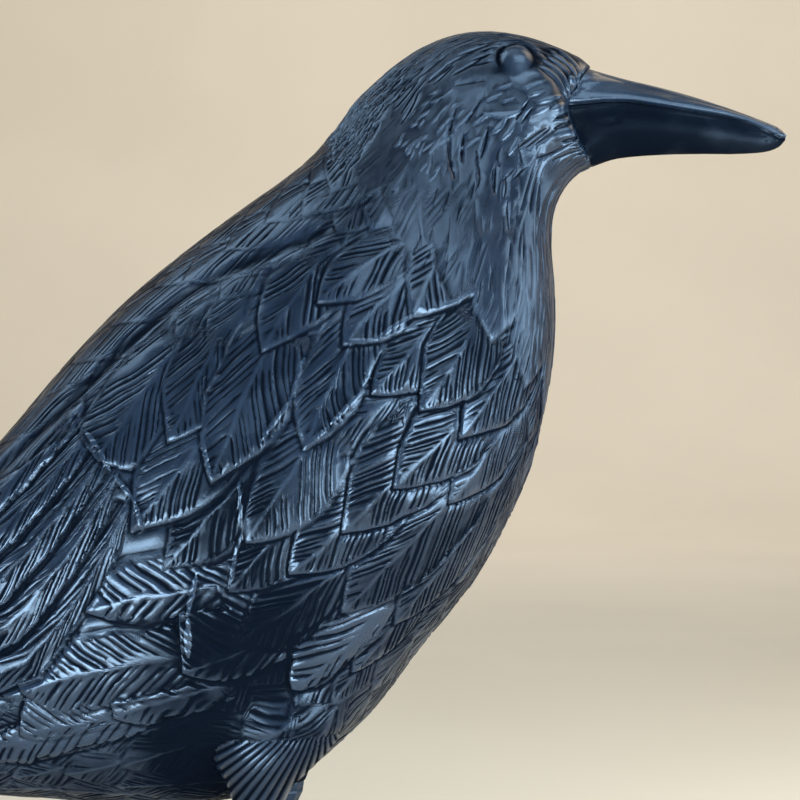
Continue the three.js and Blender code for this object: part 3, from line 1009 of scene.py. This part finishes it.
@dataclass
class Beak:
    """The beak, carried on from the face in the same skin."""

    drawing: Drawing
    gape: tuple[tuple[float, float], ...] = (
        (1050, 893), (1086, 897), (1109, 897), (1132, 894), (1172, 888), (1201, 884), (1224, 878),
        (1257, 862),
    )
    gape_depth: float = 0.9 * MM
    gape_width: float = 0.42 * MM
    edge_height: float = 0.3 * MM
    lip_height: float = 0.25 * MM
    pit_depth: float = 0.3 * MM
    pit_width: float = 0.45 * MM
    fleck_depth: float = 0.5 * MM
    jaw: float = 0.9 * MM
    pits: tuple[tuple[float, float], ...] = ((1066, 900), (1085, 884), (1093, 878), (1107, 886), (1150, 900))

    STATIONS = [
        [1067, 934, 1071, 837.5, 38, 2.1, 0.1],
        [1100, 924, 1098, 845, 32, 2.1, 0.1],
        [1140, 914, 1138, 848, 25.5, 2.1, 0.1],
        [1180, 902, 1177, 848.5, 19.5, 2.1, 0.1],
        [1215, 889, 1212, 848, 14, 2.1, 0.1],
        [1242, 879, 1240, 849.5, 10, 2.1, 0],
        [1255, 873, 1254, 854, 7, 2.1, 0],
        [1262, 866, 1261, 861, 3, 2.1, 0],
    ]

    def over_gape(self, skin: Skin) -> Array:
        """Returns how far each point lies above the mouth line."""
        line_x, line_z = zip(*self.gape)
        gape_x, gape_z = self.drawing.x(np.array(line_x)), self.drawing.z(np.array(line_z))
        return skin.points[..., 2] - np.interp(skin.points[..., 0], gape_x, gape_z)

    def carve(self, skin: Skin) -> Array:
        """The mouth line, with the upper bill's edge standing over the lower.

        Args:
            skin: the beak's skin.

        Returns:
            How far each point stands out.
        """
        x = skin.points[..., 0]
        above = self.over_gape(skin)
        side = smooth(-skin.points[..., 1], 0.4 * MM, 1.5 * MM)
        height = -self.gape_depth * bell(above - 0.1 * MM, self.gape_width)
        edge = smooth(above, 0, 0.6 * MM) * bell(np.maximum(above - 0.6 * MM, 0), 3.0 * MM)
        height += self.edge_height * edge
        height += self.lip_height * bell(above + 0.8 * MM, 0.5 * MM)
        for pit_x, pit_z in self.pits:
            off = np.hypot(x - self.drawing.x(pit_x), skin.points[..., 2] - self.drawing.z(pit_z))
            height -= self.pit_depth * bell(off, self.pit_width)
        fade = 1 - smooth(x, self.drawing.x(1180), self.drawing.x(1230))
        height -= self.lip_height * bell(above - 4.2 * MM, 1.6 * MM) * fade
        tip = smooth(x, self.drawing.x(1235), self.drawing.x(1262))
        height -= self.fleck_depth * tip * (np.sin(x / MM * 5) > 0.4)
        below = smooth(skin.shares, 0.6, 0.8) * (1 - smooth(skin.shares, 0.85, 1.0))
        below = below * (1 - smooth(skin.places, 0.0, 1.1)[:, None])
        return height * side + self.jaw * below

    def gloss(self, skin: Skin) -> Array:
        """Returns how glossy and pale the upper bill is, over the lower one, which is made darker and duller
        as painted shade.
        """
        # Below the gape the bill is made darker and duller: painted shade on its downward face.
        return 0.15 + 0.65 * smooth(self.over_gape(skin), -0.2 * MM, 0.8 * MM)


class Shade:
    """A shader socket that takes part in Python expressions, each of which adds a Math node."""

    def __init__(self, tree: bpy.types.NodeTree, socket: bpy.types.NodeSocket) -> None:
        """Wraps a socket."""
        self.tree = tree
        self.socket = socket

    def math(self, operation: str, *others: "Shade | float") -> "Shade":
        """A Math node on this value.

        Args:
            operation: the node's operation.
            others: its further values.

        Returns:
            The node's result.
        """
        return make(self.tree, "ShaderNodeMath", {"operation": operation}, (self, *others))

    def __add__(self, other: "Shade | float") -> "Shade":
        """Returns the sum."""
        return self.math("ADD", other)

    def __radd__(self, other: float) -> "Shade":
        """Returns the sum."""
        return self.math("ADD", other)

    def __sub__(self, other: "Shade | float") -> "Shade":
        """Returns the difference."""
        return self.math("SUBTRACT", other)

    def __rsub__(self, other: float) -> "Shade":
        """Returns the difference from a number."""
        return make(self.tree, "ShaderNodeMath", {"operation": "SUBTRACT"}, (other, self))

    def __mul__(self, other: "Shade | float") -> "Shade":
        """Returns the product."""
        return self.math("MULTIPLY", other)

    def __rmul__(self, other: float) -> "Shade":
        """Returns the product."""
        return self.math("MULTIPLY", other)

    def __pow__(self, other: float) -> "Shade":
        """Returns the power."""
        return self.math("POWER", other)

    def clamp(self, low: float, high: float) -> "Shade":
        """Returns the value's place between low and high, from 0 to 1."""
        soft = {"interpolation_type": "SMOOTHSTEP"}
        return make(self.tree, "ShaderNodeMapRange", soft, (self, low, high))


def make(
    tree: bpy.types.NodeTree, kind: str, settings: dict[str, Any],
    values: tuple[Any, ...] | dict[Any, Any] = (), out: int | str | None = 0,
) -> Shade | None:
    """Adds a node.

    Args:
        tree: the node tree.
        kind: the node's type.
        settings: its settings, set before its sockets.
        values: numbers, colours or links for its sockets, in order or by name.
        out: which of its results is wanted, or None where it has none.

    Returns:
        The result, if it has one.
    """
    node = tree.nodes.new(kind)
    for name, value in settings.items():
        setattr(node, name, value)
    pairs = values.items() if isinstance(values, dict) else enumerate(values)
    for key, value in pairs:
        if isinstance(value, Shade):
            tree.links.new(value.socket, node.inputs[key])
        else:
            node.inputs[key].default_value = value
    return None if out is None else Shade(tree, node.outputs[out])


@dataclass(frozen=True)
class MouldedPlastic:
    """Satin blue-black polyethylene with a faint mould texture, paler and glossier where it is rubbed and
    where highlights are painted, darker and duller where shade is painted in its hollows and grooves.
    """

    name: str
    base: tuple[float, float, float, float] = (0.002, 0.003, 0.005, 1)
    pale_wear_and_highlight: tuple[float, float, float, float] = (0.010, 0.017, 0.027, 1)
    dullness: float = 0.5
    gloss: float = 0.23
    cloud_scale: float = 60.0
    grain_scale: float = 1400.0
    band_scale: float = 95.0
    barbs: bool = True

    def material(self) -> bpy.types.Material:
        """The finish as a Blender material.

        Returns:
            The material.
        """
        made = bpy.data.materials.new(self.name)
        made.use_nodes = True
        tree = made.node_tree
        tree.nodes.clear()
        place = make(tree, "ShaderNodeTexCoord", {}, out="Object")
        cloud, grain = (
            make(tree, "ShaderNodeTexNoise", {}, {"Vector": place, "Scale": scale, "Detail": detail})
            for scale, detail in ((self.cloud_scale, 4.0), (self.grain_scale, 3.0))
        )
        worn = cloud.clamp(0.35, 0.75)
        wear_and_painted_light = 0.35 + 0.3 * worn
        height = grain * 0.15 + cloud * 0.2
        if self.barbs:
            rubbed_and_painted_light = make(tree, "ShaderNodeAttribute", {"attribute_name": "rubbed_and_painted_light"}, out="Fac")
            phase = make(tree, "ShaderNodeAttribute", {"attribute_name": "barb"}, out="Fac")
            depth = make(tree, "ShaderNodeAttribute", {"attribute_name": "vane"}, out="Fac")
            ridge = (phase * math.pi).math("SINE").math("ABSOLUTE") ** 0.5
            hollow = (1 - ridge) * depth
            height = height - hollow * 1.3
            # Paler and glossier on the lands, rubbed edges and painted highlights; darker and duller in the
            # barb grooves, the hollows and the spots of painted shade.
            wear_and_painted_light = ((rubbed_and_painted_light - 0.5) * 1.2 + 0.40 + worn * 0.25 - hollow * 0.9).clamp(0.0, 1.0)
        else:
            level = make(
                tree, "ShaderNodeTexWave", {"bands_direction": "Z"},
                {"Vector": place, "Scale": self.band_scale, "Distortion": 0.8, "Detail": 1.0}, "Fac",
            )
            height = height + (1 - level ** 6) * 1.2
            # The bands' grooves are made darker and duller, as painted shade.
            wear_and_painted_light = wear_and_painted_light - 0.25 * level ** 6
        colour = make(
            tree, "ShaderNodeMix", {"data_type": "RGBA"}, {0: wear_and_painted_light, 6: self.base, 7: self.pale_wear_and_highlight}, 2
        )
        bump = make(
            tree, "ShaderNodeBump", {},
            {"Strength": 0.7, "Distance": 0.3 * MM, "Height": height}, "Normal",
        )
        dull = make(
            tree, "ShaderNodeBsdfPrincipled", {},
            {"Base Color": colour, "Roughness": self.dullness, "Normal": bump, "Specular IOR Level": 0.0},
            "BSDF",
        )
        satin = make(
            tree, "ShaderNodeBsdfPrincipled", {},
            {"Base Color": colour, "Roughness": self.gloss + 0.08 * worn, "Normal": bump},
            "BSDF",
        )
        shader = make(tree, "ShaderNodeMixShader", {}, (0.02 + 0.98 * wear_and_painted_light, dull, satin))
        make(tree, "ShaderNodeOutputMaterial", {}, {"Surface": shader}, None)
        return made


@dataclass
class CrowBody:
    """The moulded body: a dense carved skin, thinned to the faces that its relief needs."""

    drawing: Drawing
    row_step: float = 0.36 * MM
    columns: int = 520
    beak_step: float = 0.5 * MM
    fine_steps: int = 4000
    half_faces: int = 91000
    seam: float = 0.3 * MM
    seam_width: float = 0.4 * MM
    # The relief over which the skin goes from painted shade in hollows to rubbed paleness on raised parts.
    wear_and_shade_relief: float = 0.25 * MM
    middle_reach: float = 0.3 * MM
    ledge: float = 0.9 * MM
    bow: float = 20.0
    thigh_rise: float = 12 * MM
    thigh_softness: float = 3 * MM
    # Painted shade: spots under the wing, on the flank, near the thigh and behind the cheek are made darker
    # and duller, as x, z, length and height in squares, and strength.
    painted_shade_spots: tuple[tuple[float, ...], ...] = (
        (735, 385, 70, 50, 0.9), (745, 500, 50, 45, 0.35), (700, 275, 45, 55, 0.7),
        (925, 850, 75, 95, 0.09),
    )

    STATIONS = [
        [0, 127, 8, 112, 84, 2.8, 0],
        [40, 159, 60, 133, 104, 2.8, 0.1],
        [105, 213, 140, 167, 112, 2.7, 0.2],
        [190, 283, 255, 205, 117, 2.6, 0.25],
        [285, 365, 385, 213, 128, 2.5, 0.25],
        [385, 465, 525, 205, 147, 2.4, 0.2],
        [480, 561, 650, 199, 166, 2.3, 0.15],
        [560, 653, 765, 223, 180, 2.3, 0.1],
        [620, 713, 844, 285, 188, 2.3, 0.05],
        [680, 761, 900, 356, 190, 2.3, 0],
        [730, 797, 953, 423, 186, 2.3, 0],
        [770, 825, 989, 485, 177, 2.3, 0],
        [796, 847, 1015, 550, 164, 2.2, 0],
        [812, 866, 1028, 613, 149, 2.2, 0],
        [824, 883, 1034, 670, 133, 2.2, 0],
        [836, 901, 1034, 717, 117, 2.2, 0],
        [853, 918, 1031, 755, 104, 2.2, 0],
        [876, 938, 1032, 783, 94, 2.2, 0],
        [904, 956, 1037, 803, 86, 2.2, 0],
        [936, 968, 1047, 820, 80, 2.2, 0],
        [970, 971, 1058, 831, 76, 2.2, 0],
        [1004, 966, 1064, 834, 70, 2.2, 0],
        [1034, 956, 1067, 835.5, 61, 2.2, 0],
        [1058, 945, 1069, 836.5, 51, 2.2, 0],
        [1070, 936, 1070, 837, 43, 2.2, 0],
    ]

    def even_places(self, stations: list[list[float]], step: float) -> Array:
        """Station places a step apart along the skin.

        Args:
            stations: the stations.
            step: the distance between rows.

        Returns:
            The places.
        """
        fine = np.linspace(0, len(stations) - 1, self.fine_steps)
        rows = through(stations, fine)
        middle = (rows[:, 0:2] + rows[:, 2:4]) / 2
        run = np.concatenate([[0], np.cumsum(np.linalg.norm(np.diff(middle, axis=0), axis=1))])
        count = int(run[-1] * self.drawing.square / step)
        return np.interp(np.linspace(0, run[-1], count), run, fine)

    def build(self) -> bpy.types.Object:
        """Carves the right half, mirrors it and closes its ends.

        Returns:
            The body's object.
        """
        places = self.even_places(self.STATIONS, self.row_step)
        end = len(self.STATIONS) - 1
        bow = self.bow * smooth(places, end - 3.5, end)
        body = Skin(self.drawing, self.STATIONS, places, self.columns, bow)
        beak_places = self.even_places(Beak.STATIONS, self.beak_step)
        beak_bow = self.bow * (1 - smooth(beak_places, 0, 1.2))
        beak = Skin(self.drawing, Beak.STATIONS, beak_places, self.columns, beak_bow)
        relief = Relief(body)
        Plumage(relief).grow()
        face = Face(relief)
        face.cheek()
        face.bristles()
        face.eye()
        side = smooth(body.shares, 0.10, 0.28) * (1 - smooth(body.shares, 0.62, 0.85))
        root = smooth(body.places, end - 1, end)[:, None]
        relief.height *= 1 - 0.8 * root * (1 - side)
        relief.height -= self.ledge * smooth(body.places, end - 0.5, end)[:, None] ** 2 * side
        relief.swell(Thigh(self.drawing, -1, "leg_right"), self.thigh_rise, self.thigh_softness)
        for i in range(len(body.places)):
            edge = np.minimum(body.shares, 1 - body.shares) * body.girth[i]
            relief.height[i] += self.seam * bell(edge, self.seam_width) * (1 - root[i])
        log.info("body carved: %d rows, %d columns", len(body.places), self.columns)
        bill = Beak(self.drawing)
        beak_height = bill.carve(beak)
        points = np.concatenate([body.raised(relief.height + relief.swelling), beak.raised(beak_height)])
        bare = np.zeros(beak.points.shape[:2])
        # Paler and glossier on raised relief as rubbed wear, darker and duller in its hollows as painted
        # shade, plus the marks' shine, less the spots of painted shade.
        proud = relief.height - soften(relief.height, 12)
        rubbed_and_painted_light = smooth(proud, -self.wear_and_shade_relief, self.wear_and_shade_relief) + relief.shine - self.painted_shade(body)
        values = {
            "barb": np.concatenate([relief.phase, bare]),
            "vane": np.concatenate([relief.depth, bare]),
            "rubbed_and_painted_light": np.concatenate([rubbed_and_painted_light, bill.gloss(beak)]),
        }
        half = net_mesh("crow_body_half", points, values)
        half = thinned(half, self.half_faces)
        return self.closed(half)

    def painted_shade(self, skin: Skin) -> Array:
        """Painted shade: how much darker and duller the skin is made at spots where it lies in shade.

        Args:
            skin: the body's skin.

        Returns:
            The loss of paleness and gloss at each point, as painted shade.
        """
        x, _, z = self.drawing.squares(skin.points)
        dull = np.zeros_like(x)
        for spot_x, spot_z, long, high, strength in self.painted_shade_spots:
            dull += strength * bell(np.hypot((x - spot_x) / long, (z - spot_z) / high), 1.0)
        return dull

    def closed(self, half: bpy.types.Mesh) -> bpy.types.Object:
        """The whole body from its right half.

        Args:
            half: the mesh of the right half.

        Returns:
            The body's object.
        """
        bm = bmesh.new()
        bm.from_mesh(half)
        for edge in [e for e in bm.edges if e.is_boundary]:
            for vert in edge.verts:
                if abs(vert.co.y) < self.middle_reach:
                    vert.co.y = 0
        bmesh.ops.mirror(bm, geom=bm.verts[:] + bm.edges[:] + bm.faces[:], axis="Y", merge_dist=1e-6)
        bmesh.ops.remove_doubles(bm, verts=[v for v in bm.verts if abs(v.co.y) < 1e-6], dist=1e-6)
        bmesh.ops.holes_fill(bm, edges=[e for e in bm.edges if e.is_boundary], sides=0)
        bmesh.ops.triangulate(bm, faces=[f for f in bm.faces if len(f.verts) > 4])
        bmesh.ops.recalc_face_normals(bm, faces=bm.faces[:])
        made = finished(bm, "crow_body")
        for hand, leg in ((-1, "leg_right"), (1, "leg_left")):
            joined(made, Thigh(self.drawing, hand, leg).build(), "UNION")
        return made


@dataclass
class Thigh:
    """One thigh stub, with its carved fan of barbs and the socket that a leg plugs into.

    Above the levels of sinking the stub is tucked under the skin, and below them the skin is sunk under it.
    """

    drawing: Drawing
    hand: int
    leg: str
    rows: int = 90
    columns: int = 150
    fan: tuple[float, float] = (838, 345)
    barb_turn: float = 0.06
    barb_depth: float = 0.5 * MM
    tuck: float = 0.8 * MM
    sunk: float = 2.0 * MM
    sinking: tuple[float, float] = (262, 298)
    socket_radius: float = 3.3 * MM
    socket_depth: float = 11.3 * MM

    SECTIONS = [
        [420, 752, 828, 26, 62],
        [380, 716, 846, 52, 70],
        [340, 698, 852, 66, 76],
        [300, 696, 842, 72, 82],
        [265, 708, 816, 64, 88],
        [235, 724, 786, 42, 93],
        [205, 732, 772, 26, 97],
    ]

    def beyond(self, points: Array) -> Array:
        """How far points lie outside the stub.

        Args:
            points: the points.

        Returns:
            The distances, negative inside.
        """
        x, y, level = self.drawing.squares(points)
        table = np.array(self.SECTIONS)[::-1]
        rear, front, half, middle = (np.interp(level, table[:, 0], table[:, k]) for k in range(1, 5))
        long, wide = (front - rear) / 2 * self.drawing.square, half * self.drawing.width_square
        ahead = (x - (rear + front) / 2) * self.drawing.square / long
        aside = (y - middle) * self.drawing.width_square / wide
        above = np.maximum(level - table[-2, 0], 0) * self.drawing.square
        sunk = self.sunk * (1 - smooth(level, *self.sinking))
        return (np.hypot(ahead, aside) - 1) * np.minimum(long, wide) + above + sunk

    def build(self) -> bpy.types.Object:
        """Lofts the stub through its level sections.

        Returns:
            The stub's object, closed.
        """
        place = np.linspace(0, len(self.SECTIONS) - 1, self.rows)
        angle = np.linspace(0, 2 * np.pi, self.columns)
        points = np.zeros((self.rows, self.columns, 3))
        draw = self.drawing
        for i, (height, rear, front, half, middle) in enumerate(through(self.SECTIONS, place)):
            points[i, :, 0] = draw.x((rear + front) / 2 + np.cos(angle) * (front - rear) / 2)
            points[i, :, 1] = (middle + np.sin(angle) * half) * draw.width_square
            points[i, :, 2] = draw.z(height)
        centre_x, centre_z = draw.x(self.fan[0]), draw.z(self.fan[1])
        turn = np.arctan2(points[..., 2] - centre_z, centre_x - points[..., 0])
        phase = turn / self.barb_turn
        fade = smooth(place, 0.5, 1.5) * (1 - smooth(place, 5.4, 5.9))
        reach = np.hypot(points[..., 0] - centre_x, points[..., 2] - centre_z)
        vane = fade[:, None] * smooth(reach, 3 * MM, 9 * MM)
        cut = Relief.barb_cut(phase)
        under = self.tuck * (1 - smooth(place, 3.0, 3.8))
        out = np.stack([np.cos(angle), np.sin(angle), np.zeros_like(angle)], axis=1)
        points -= out * (self.barb_depth * vane * cut + under[:, None])[..., None]
        points[:, -1] = points[:, 0]
        points[..., 1] *= self.hand
        # Paler on the barbs' lands as rubbed wear, darker and duller in their grooves as painted shade.
        values = {"barb": phase, "vane": vane, "rubbed_and_painted_light": 0.18 + 0.5 * vane * (1 - cut)}
        mesh = net_mesh("thigh", points, values)
        bm = bmesh.new()
        bm.from_mesh(mesh)
        bmesh.ops.remove_doubles(bm, verts=bm.verts[:], dist=1e-6)
        bmesh.ops.holes_fill(bm, edges=[e for e in bm.edges if e.is_boundary], sides=0)
        bmesh.ops.recalc_face_normals(bm, faces=bm.faces[:])
        made = finished(bm, "thigh")
        joined(made, self.socket(), "DIFFERENCE")
        return made

    def socket(self) -> bpy.types.Object:
        """The room for the leg's peg, open below.

        Returns:
            The room as an object.
        """
        leg = frame["nodes"][self.leg]
        top = max(vert.co.z for vert in leg.data.vertices)
        peg = [vert.co for vert in leg.data.vertices if vert.co.z > top - self.socket_depth / 2]
        middle = sum(peg, Vector()) / len(peg)
        low = self.drawing.z(self.SECTIONS[-1][0])
        bm = bmesh.new()
        bmesh.ops.create_cone(
            bm, cap_ends=True, segments=40, radius1=self.socket_radius, radius2=self.socket_radius,
            depth=2 * self.socket_depth,
        )
        bmesh.ops.translate(bm, verts=bm.verts[:], vec=(middle.x, middle.y, low))
        return finished(bm, "socket")


def joined(main: bpy.types.Object, other: bpy.types.Object, operation: str) -> None:
    """Unites an object with another, or cuts the other out of it, and removes the other.

    Args:
        main: the object that is kept.
        other: the object that takes part.
        operation: UNION or DIFFERENCE.
    """
    step = main.modifiers.new("join", "BOOLEAN")
    step.operation = operation
    step.object = other
    step.solver = "EXACT"
    graph = bpy.context.evaluated_depsgraph_get()
    made = bpy.data.meshes.new_from_object(
        main.evaluated_get(graph), preserve_all_data_layers=True, depsgraph=graph
    )
    carry_over(made, [main.data, other.data])
    main.modifiers.clear()
    main.data = made
    bpy.data.objects.remove(other)


def carry_over(made: bpy.types.Mesh, sources: list[bpy.types.Mesh]) -> None:
    """Gives each vertex the finish's values of the nearest vertex that it was made from.

    Args:
        made: the mesh that two others were made into.
        sources: those two meshes.
    """
    verts = [vert for mesh in sources for vert in mesh.vertices]
    tree = KDTree(len(verts))
    for index, vert in enumerate(verts):
        tree.insert(vert.co, index)
    tree.balance()
    nearest = np.array([tree.find(vert.co)[1] for vert in made.vertices])
    for key in ("barb", "vane", "rubbed_and_painted_light"):
        values = []
        for mesh in sources:
            part = np.zeros(len(mesh.vertices), np.float32)
            if key in mesh.attributes:
                mesh.attributes[key].data.foreach_get("value", part)
            values.append(part)
        made.attributes[key].data.foreach_set("value", np.concatenate(values)[nearest])


def soften(values: Array, steps: int) -> Array:
    """The values spread over their neighbours.

    Args:
        values: a net of numbers.
        steps: how many times each is averaged with its neighbours.

    Returns:
        The softened net.
    """
    soft = values.copy()
    for _ in range(steps):
        padded = np.pad(soft, 1, mode="edge")
        soft = (padded[:-2, 1:-1] + padded[2:, 1:-1] + padded[1:-1, :-2] + padded[1:-1, 2:] + soft) / 5
    return soft


def net_mesh(name: str, points: Array, values: dict[str, Array]) -> bpy.types.Mesh:
    """A grid of faces bent over a net of points.

    Args:
        name: the mesh's name.
        points: the net's points, by row and column.
        values: a number for each point, by attribute name.

    Returns:
        The mesh.
    """
    rows, columns = points.shape[:2]
    bm = bmesh.new()
    bmesh.ops.create_grid(bm, x_segments=columns - 1, y_segments=rows - 1, size=1)
    mesh = bpy.data.meshes.new(name)
    bm.to_mesh(mesh)
    bm.free()
    mesh.vertices.foreach_set("co", points.reshape(-1).astype(np.float32))
    for key, net in values.items():
        attribute = mesh.attributes.new(key, "FLOAT", "POINT")
        attribute.data.foreach_set("value", net.reshape(-1).astype(np.float32))
    mesh.update()
    return mesh


def thinned(mesh: bpy.types.Mesh, faces: int) -> bpy.types.Mesh:
    """The mesh with fewer faces, kept where its relief needs them.

    Args:
        mesh: a dense mesh.
        faces: how many triangles it may keep.

    Returns:
        The thinned mesh.
    """
    carrier = bpy.data.objects.new(mesh.name, mesh)
    bpy.context.scene.collection.objects.link(carrier)
    thin = carrier.modifiers.new("thin", "DECIMATE")
    thin.ratio = faces / sum(len(p.vertices) - 2 for p in mesh.polygons)
    graph = bpy.context.evaluated_depsgraph_get()
    made = bpy.data.meshes.new_from_object(
        carrier.evaluated_get(graph), preserve_all_data_layers=True, depsgraph=graph
    )
    bpy.data.objects.remove(carrier)
    return made


def finished(bm: bmesh.types.BMesh, name: str) -> bpy.types.Object:
    """Makes a smooth-shaded object of a bmesh.

    Args:
        bm: the bmesh, which is freed.
        name: the object's name.

    Returns:
        The object.
    """
    for face in bm.faces:
        face.smooth = True
    mesh = bpy.data.meshes.new(name)
    bm.to_mesh(mesh)
    bm.free()
    made = bpy.data.objects.new(name, mesh)
    bpy.context.scene.collection.objects.link(made)
    return made


@dataclass(frozen=True)
class SoftLight:
    """A soft light round the bird, by its bearing from the right side towards the beak and its elevation."""

    name: str
    bearing: float
    elevation: float
    distance: float
    size: tuple[float, float]
    watts: float
    colour: tuple[float, float, float]
    target: tuple[float, float, float] | None = None

    def place(self, middle: tuple[float, float, float]) -> None:
        """Adds the light, turned to its target, or else to the bird.

        Args:
            middle: the middle of the bird's picture.
        """
        data = bpy.data.lights.new(self.name, "AREA")
        data.shape = "RECTANGLE"
        data.size, data.size_y = self.size
        data.energy = self.watts
        data.color = self.colour
        lamp = bpy.data.objects.new(self.name, data)
        a, e = math.radians(self.bearing), math.radians(self.elevation)
        back = Vector((math.sin(a) * math.cos(e), -math.cos(a) * math.cos(e), math.sin(e)))
        lamp.location = Vector(middle) + back * self.distance
        facing = Vector(self.target or middle) - lamp.location
        lamp.rotation_euler = facing.to_track_quat("-Z", "Y").to_euler()
        lamp.visible_camera = False
        bpy.context.scene.collection.objects.link(lamp)


COOL = (0.46, 0.71, 1.0)


@dataclass
class Studio:
    """The pale floor and backdrop, the soft lights and the camera."""

    aim: tuple[float, float, float] = (65.9 * MM, 0, 159.9 * MM)
    distance: float = 0.5
    azimuth: float = 5.0
    field: float = 211.7 * MM
    sensor: float = 36.0
    pale: tuple[float, float, float, float] = (0.74, 0.55, 0.36, 1)
    shaded: float = 0.95
    radius: float = 2.6
    bend: float = 0.9
    bend_steps: int = 8
    height: float = 3.4
    room: tuple[float, float, float, float] = (0.52, 0.75, 1.0, 1)
    room_strength: float = 0.33

    LIGHTS = (
        SoftLight("right", 48, -9, 0.42, (0.36, 0.14), 4.4, COOL),
        SoftLight("right side", 105, 5, 0.5, (0.3, 0.3), 1.8, COOL),
        SoftLight("right high", 32, 36, 0.8, (0.7, 0.5), 7.0, COOL),
        SoftLight("right floor", 108, 40, 0.6, (0.4, 0.4), 1.5, (1.0, 0.82, 0.55), (0.42, -0.05, 0)),
        SoftLight("left high", -90, 45, 0.8, (0.5, 0.6), 4.5, COOL),
        SoftLight("top", -20, 75, 0.9, (0.7, 0.7), 2.0, (0.65, 0.83, 1.0)),
        SoftLight("left", -30, -20, 0.36, (0.22, 0.10), 2.4, COOL),
        SoftLight("wall", 180, 45, 1.9, (1.6, 0.8), 30, (0.63, 0.79, 1.0), (-0.1, 2.25, 0.45)),
    )

    def backdrop(self) -> None:
        """Spins the floor and the round wall that it climbs into."""
        bm = bmesh.new()
        flat = self.radius - self.bend
        profile = [(0.0, 0.0), (flat, 0.0)]
        for step in range(1, self.bend_steps + 1):
            angle = math.pi / 2 * step / self.bend_steps
            profile.append((flat + self.bend * math.sin(angle), self.bend - self.bend * math.cos(angle)))
        profile.append((self.radius, self.height))
        verts = [bm.verts.new((x, 0, z)) for x, z in profile]
        edges = [bm.edges.new(pair) for pair in zip(verts, verts[1:])]
        bmesh.ops.spin(
            bm, geom=verts + edges, axis=(0, 0, 1), cent=(0, 0, 0), angle=2 * math.pi, steps=64,
            use_merge=True,
        )
        bmesh.ops.remove_doubles(bm, verts=bm.verts[:], dist=1e-5)
        bmesh.ops.recalc_face_normals(bm, faces=bm.faces[:])
        floor = finished(bm, "floor")
        made = bpy.data.materials.new("pale paper")
        made.use_nodes = True
        tree = made.node_tree
        tree.nodes.clear()
        place = make(tree, "ShaderNodeTexCoord", {}, out="Object")
        cloud = make(tree, "ShaderNodeTexNoise", {}, {"Vector": place, "Scale": 3.0, "Detail": 3.0})
        darker = tuple(self.shaded * part for part in self.pale[:3]) + (1,)
        colour = make(
            tree, "ShaderNodeMix", {"data_type": "RGBA"}, {0: cloud.clamp(0.3, 0.7), 6: self.pale, 7: darker},
            2,
        )
        shader = make(
            tree, "ShaderNodeBsdfPrincipled", {}, {"Base Color": colour, "Roughness": 0.9}, "BSDF"
        )
        make(tree, "ShaderNodeOutputMaterial", {}, {"Surface": shader}, None)
        floor.data.materials.append(made)

    def camera(self) -> None:
        """Sets the camera at the photograph's viewing angle."""
        data = bpy.data.cameras.new("camera")
        data.sensor_width = self.sensor
        data.lens = self.sensor * self.distance / self.field
        data.clip_start, data.clip_end = 0.01, 20
        camera = bpy.data.objects.new("camera", data)
        a = math.radians(self.azimuth)
        back = Vector((math.sin(a), -math.cos(a), 0))
        camera.location = Vector(self.aim) + back * self.distance
        camera.rotation_euler = (-back).to_track_quat("-Z", "Y").to_euler()
        bpy.context.scene.collection.objects.link(camera)
        bpy.context.scene.camera = camera

    def build(self) -> None:
        """Sets up the stage, lights, world and camera."""
        self.backdrop()
        for light in self.LIGHTS:
            light.place(self.aim)
        world = bpy.data.worlds.new("soft room")
        bpy.context.scene.world = world
        world.use_nodes = True
        back = world.node_tree.nodes["Background"]
        back.inputs["Color"].default_value = self.room
        back.inputs["Strength"].default_value = self.room_strength
        bpy.context.scene.view_settings.view_transform = "Standard"
        self.camera()


def write_sizes() -> None:
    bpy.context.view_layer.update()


def main() -> None:
    """Builds the studio and the bird, piece by piece."""
    logging.basicConfig(level=logging.INFO)
    Studio().build()
    drawing = Drawing(*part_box("body"))
    plastic = MouldedPlastic("moulded body").material()
    body = CrowBody(drawing).build()
    body.data.materials.append(plastic)
    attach(body, "root")
    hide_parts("body")
    log.info("crow_body: %d faces", len(body.data.polygons))
    legs = MouldedPlastic("moulded legs", base=(0.014, 0.017, 0.022, 1), barbs=False).material()
    for name in ("leg_right", "leg_left"):
        node = frame["nodes"][name]
        node.data.materials.clear()
        node.data.materials.append(legs)
        log.info("%s: finished", name)
    write_sizes()


if __name__ == "__main__":
    main()
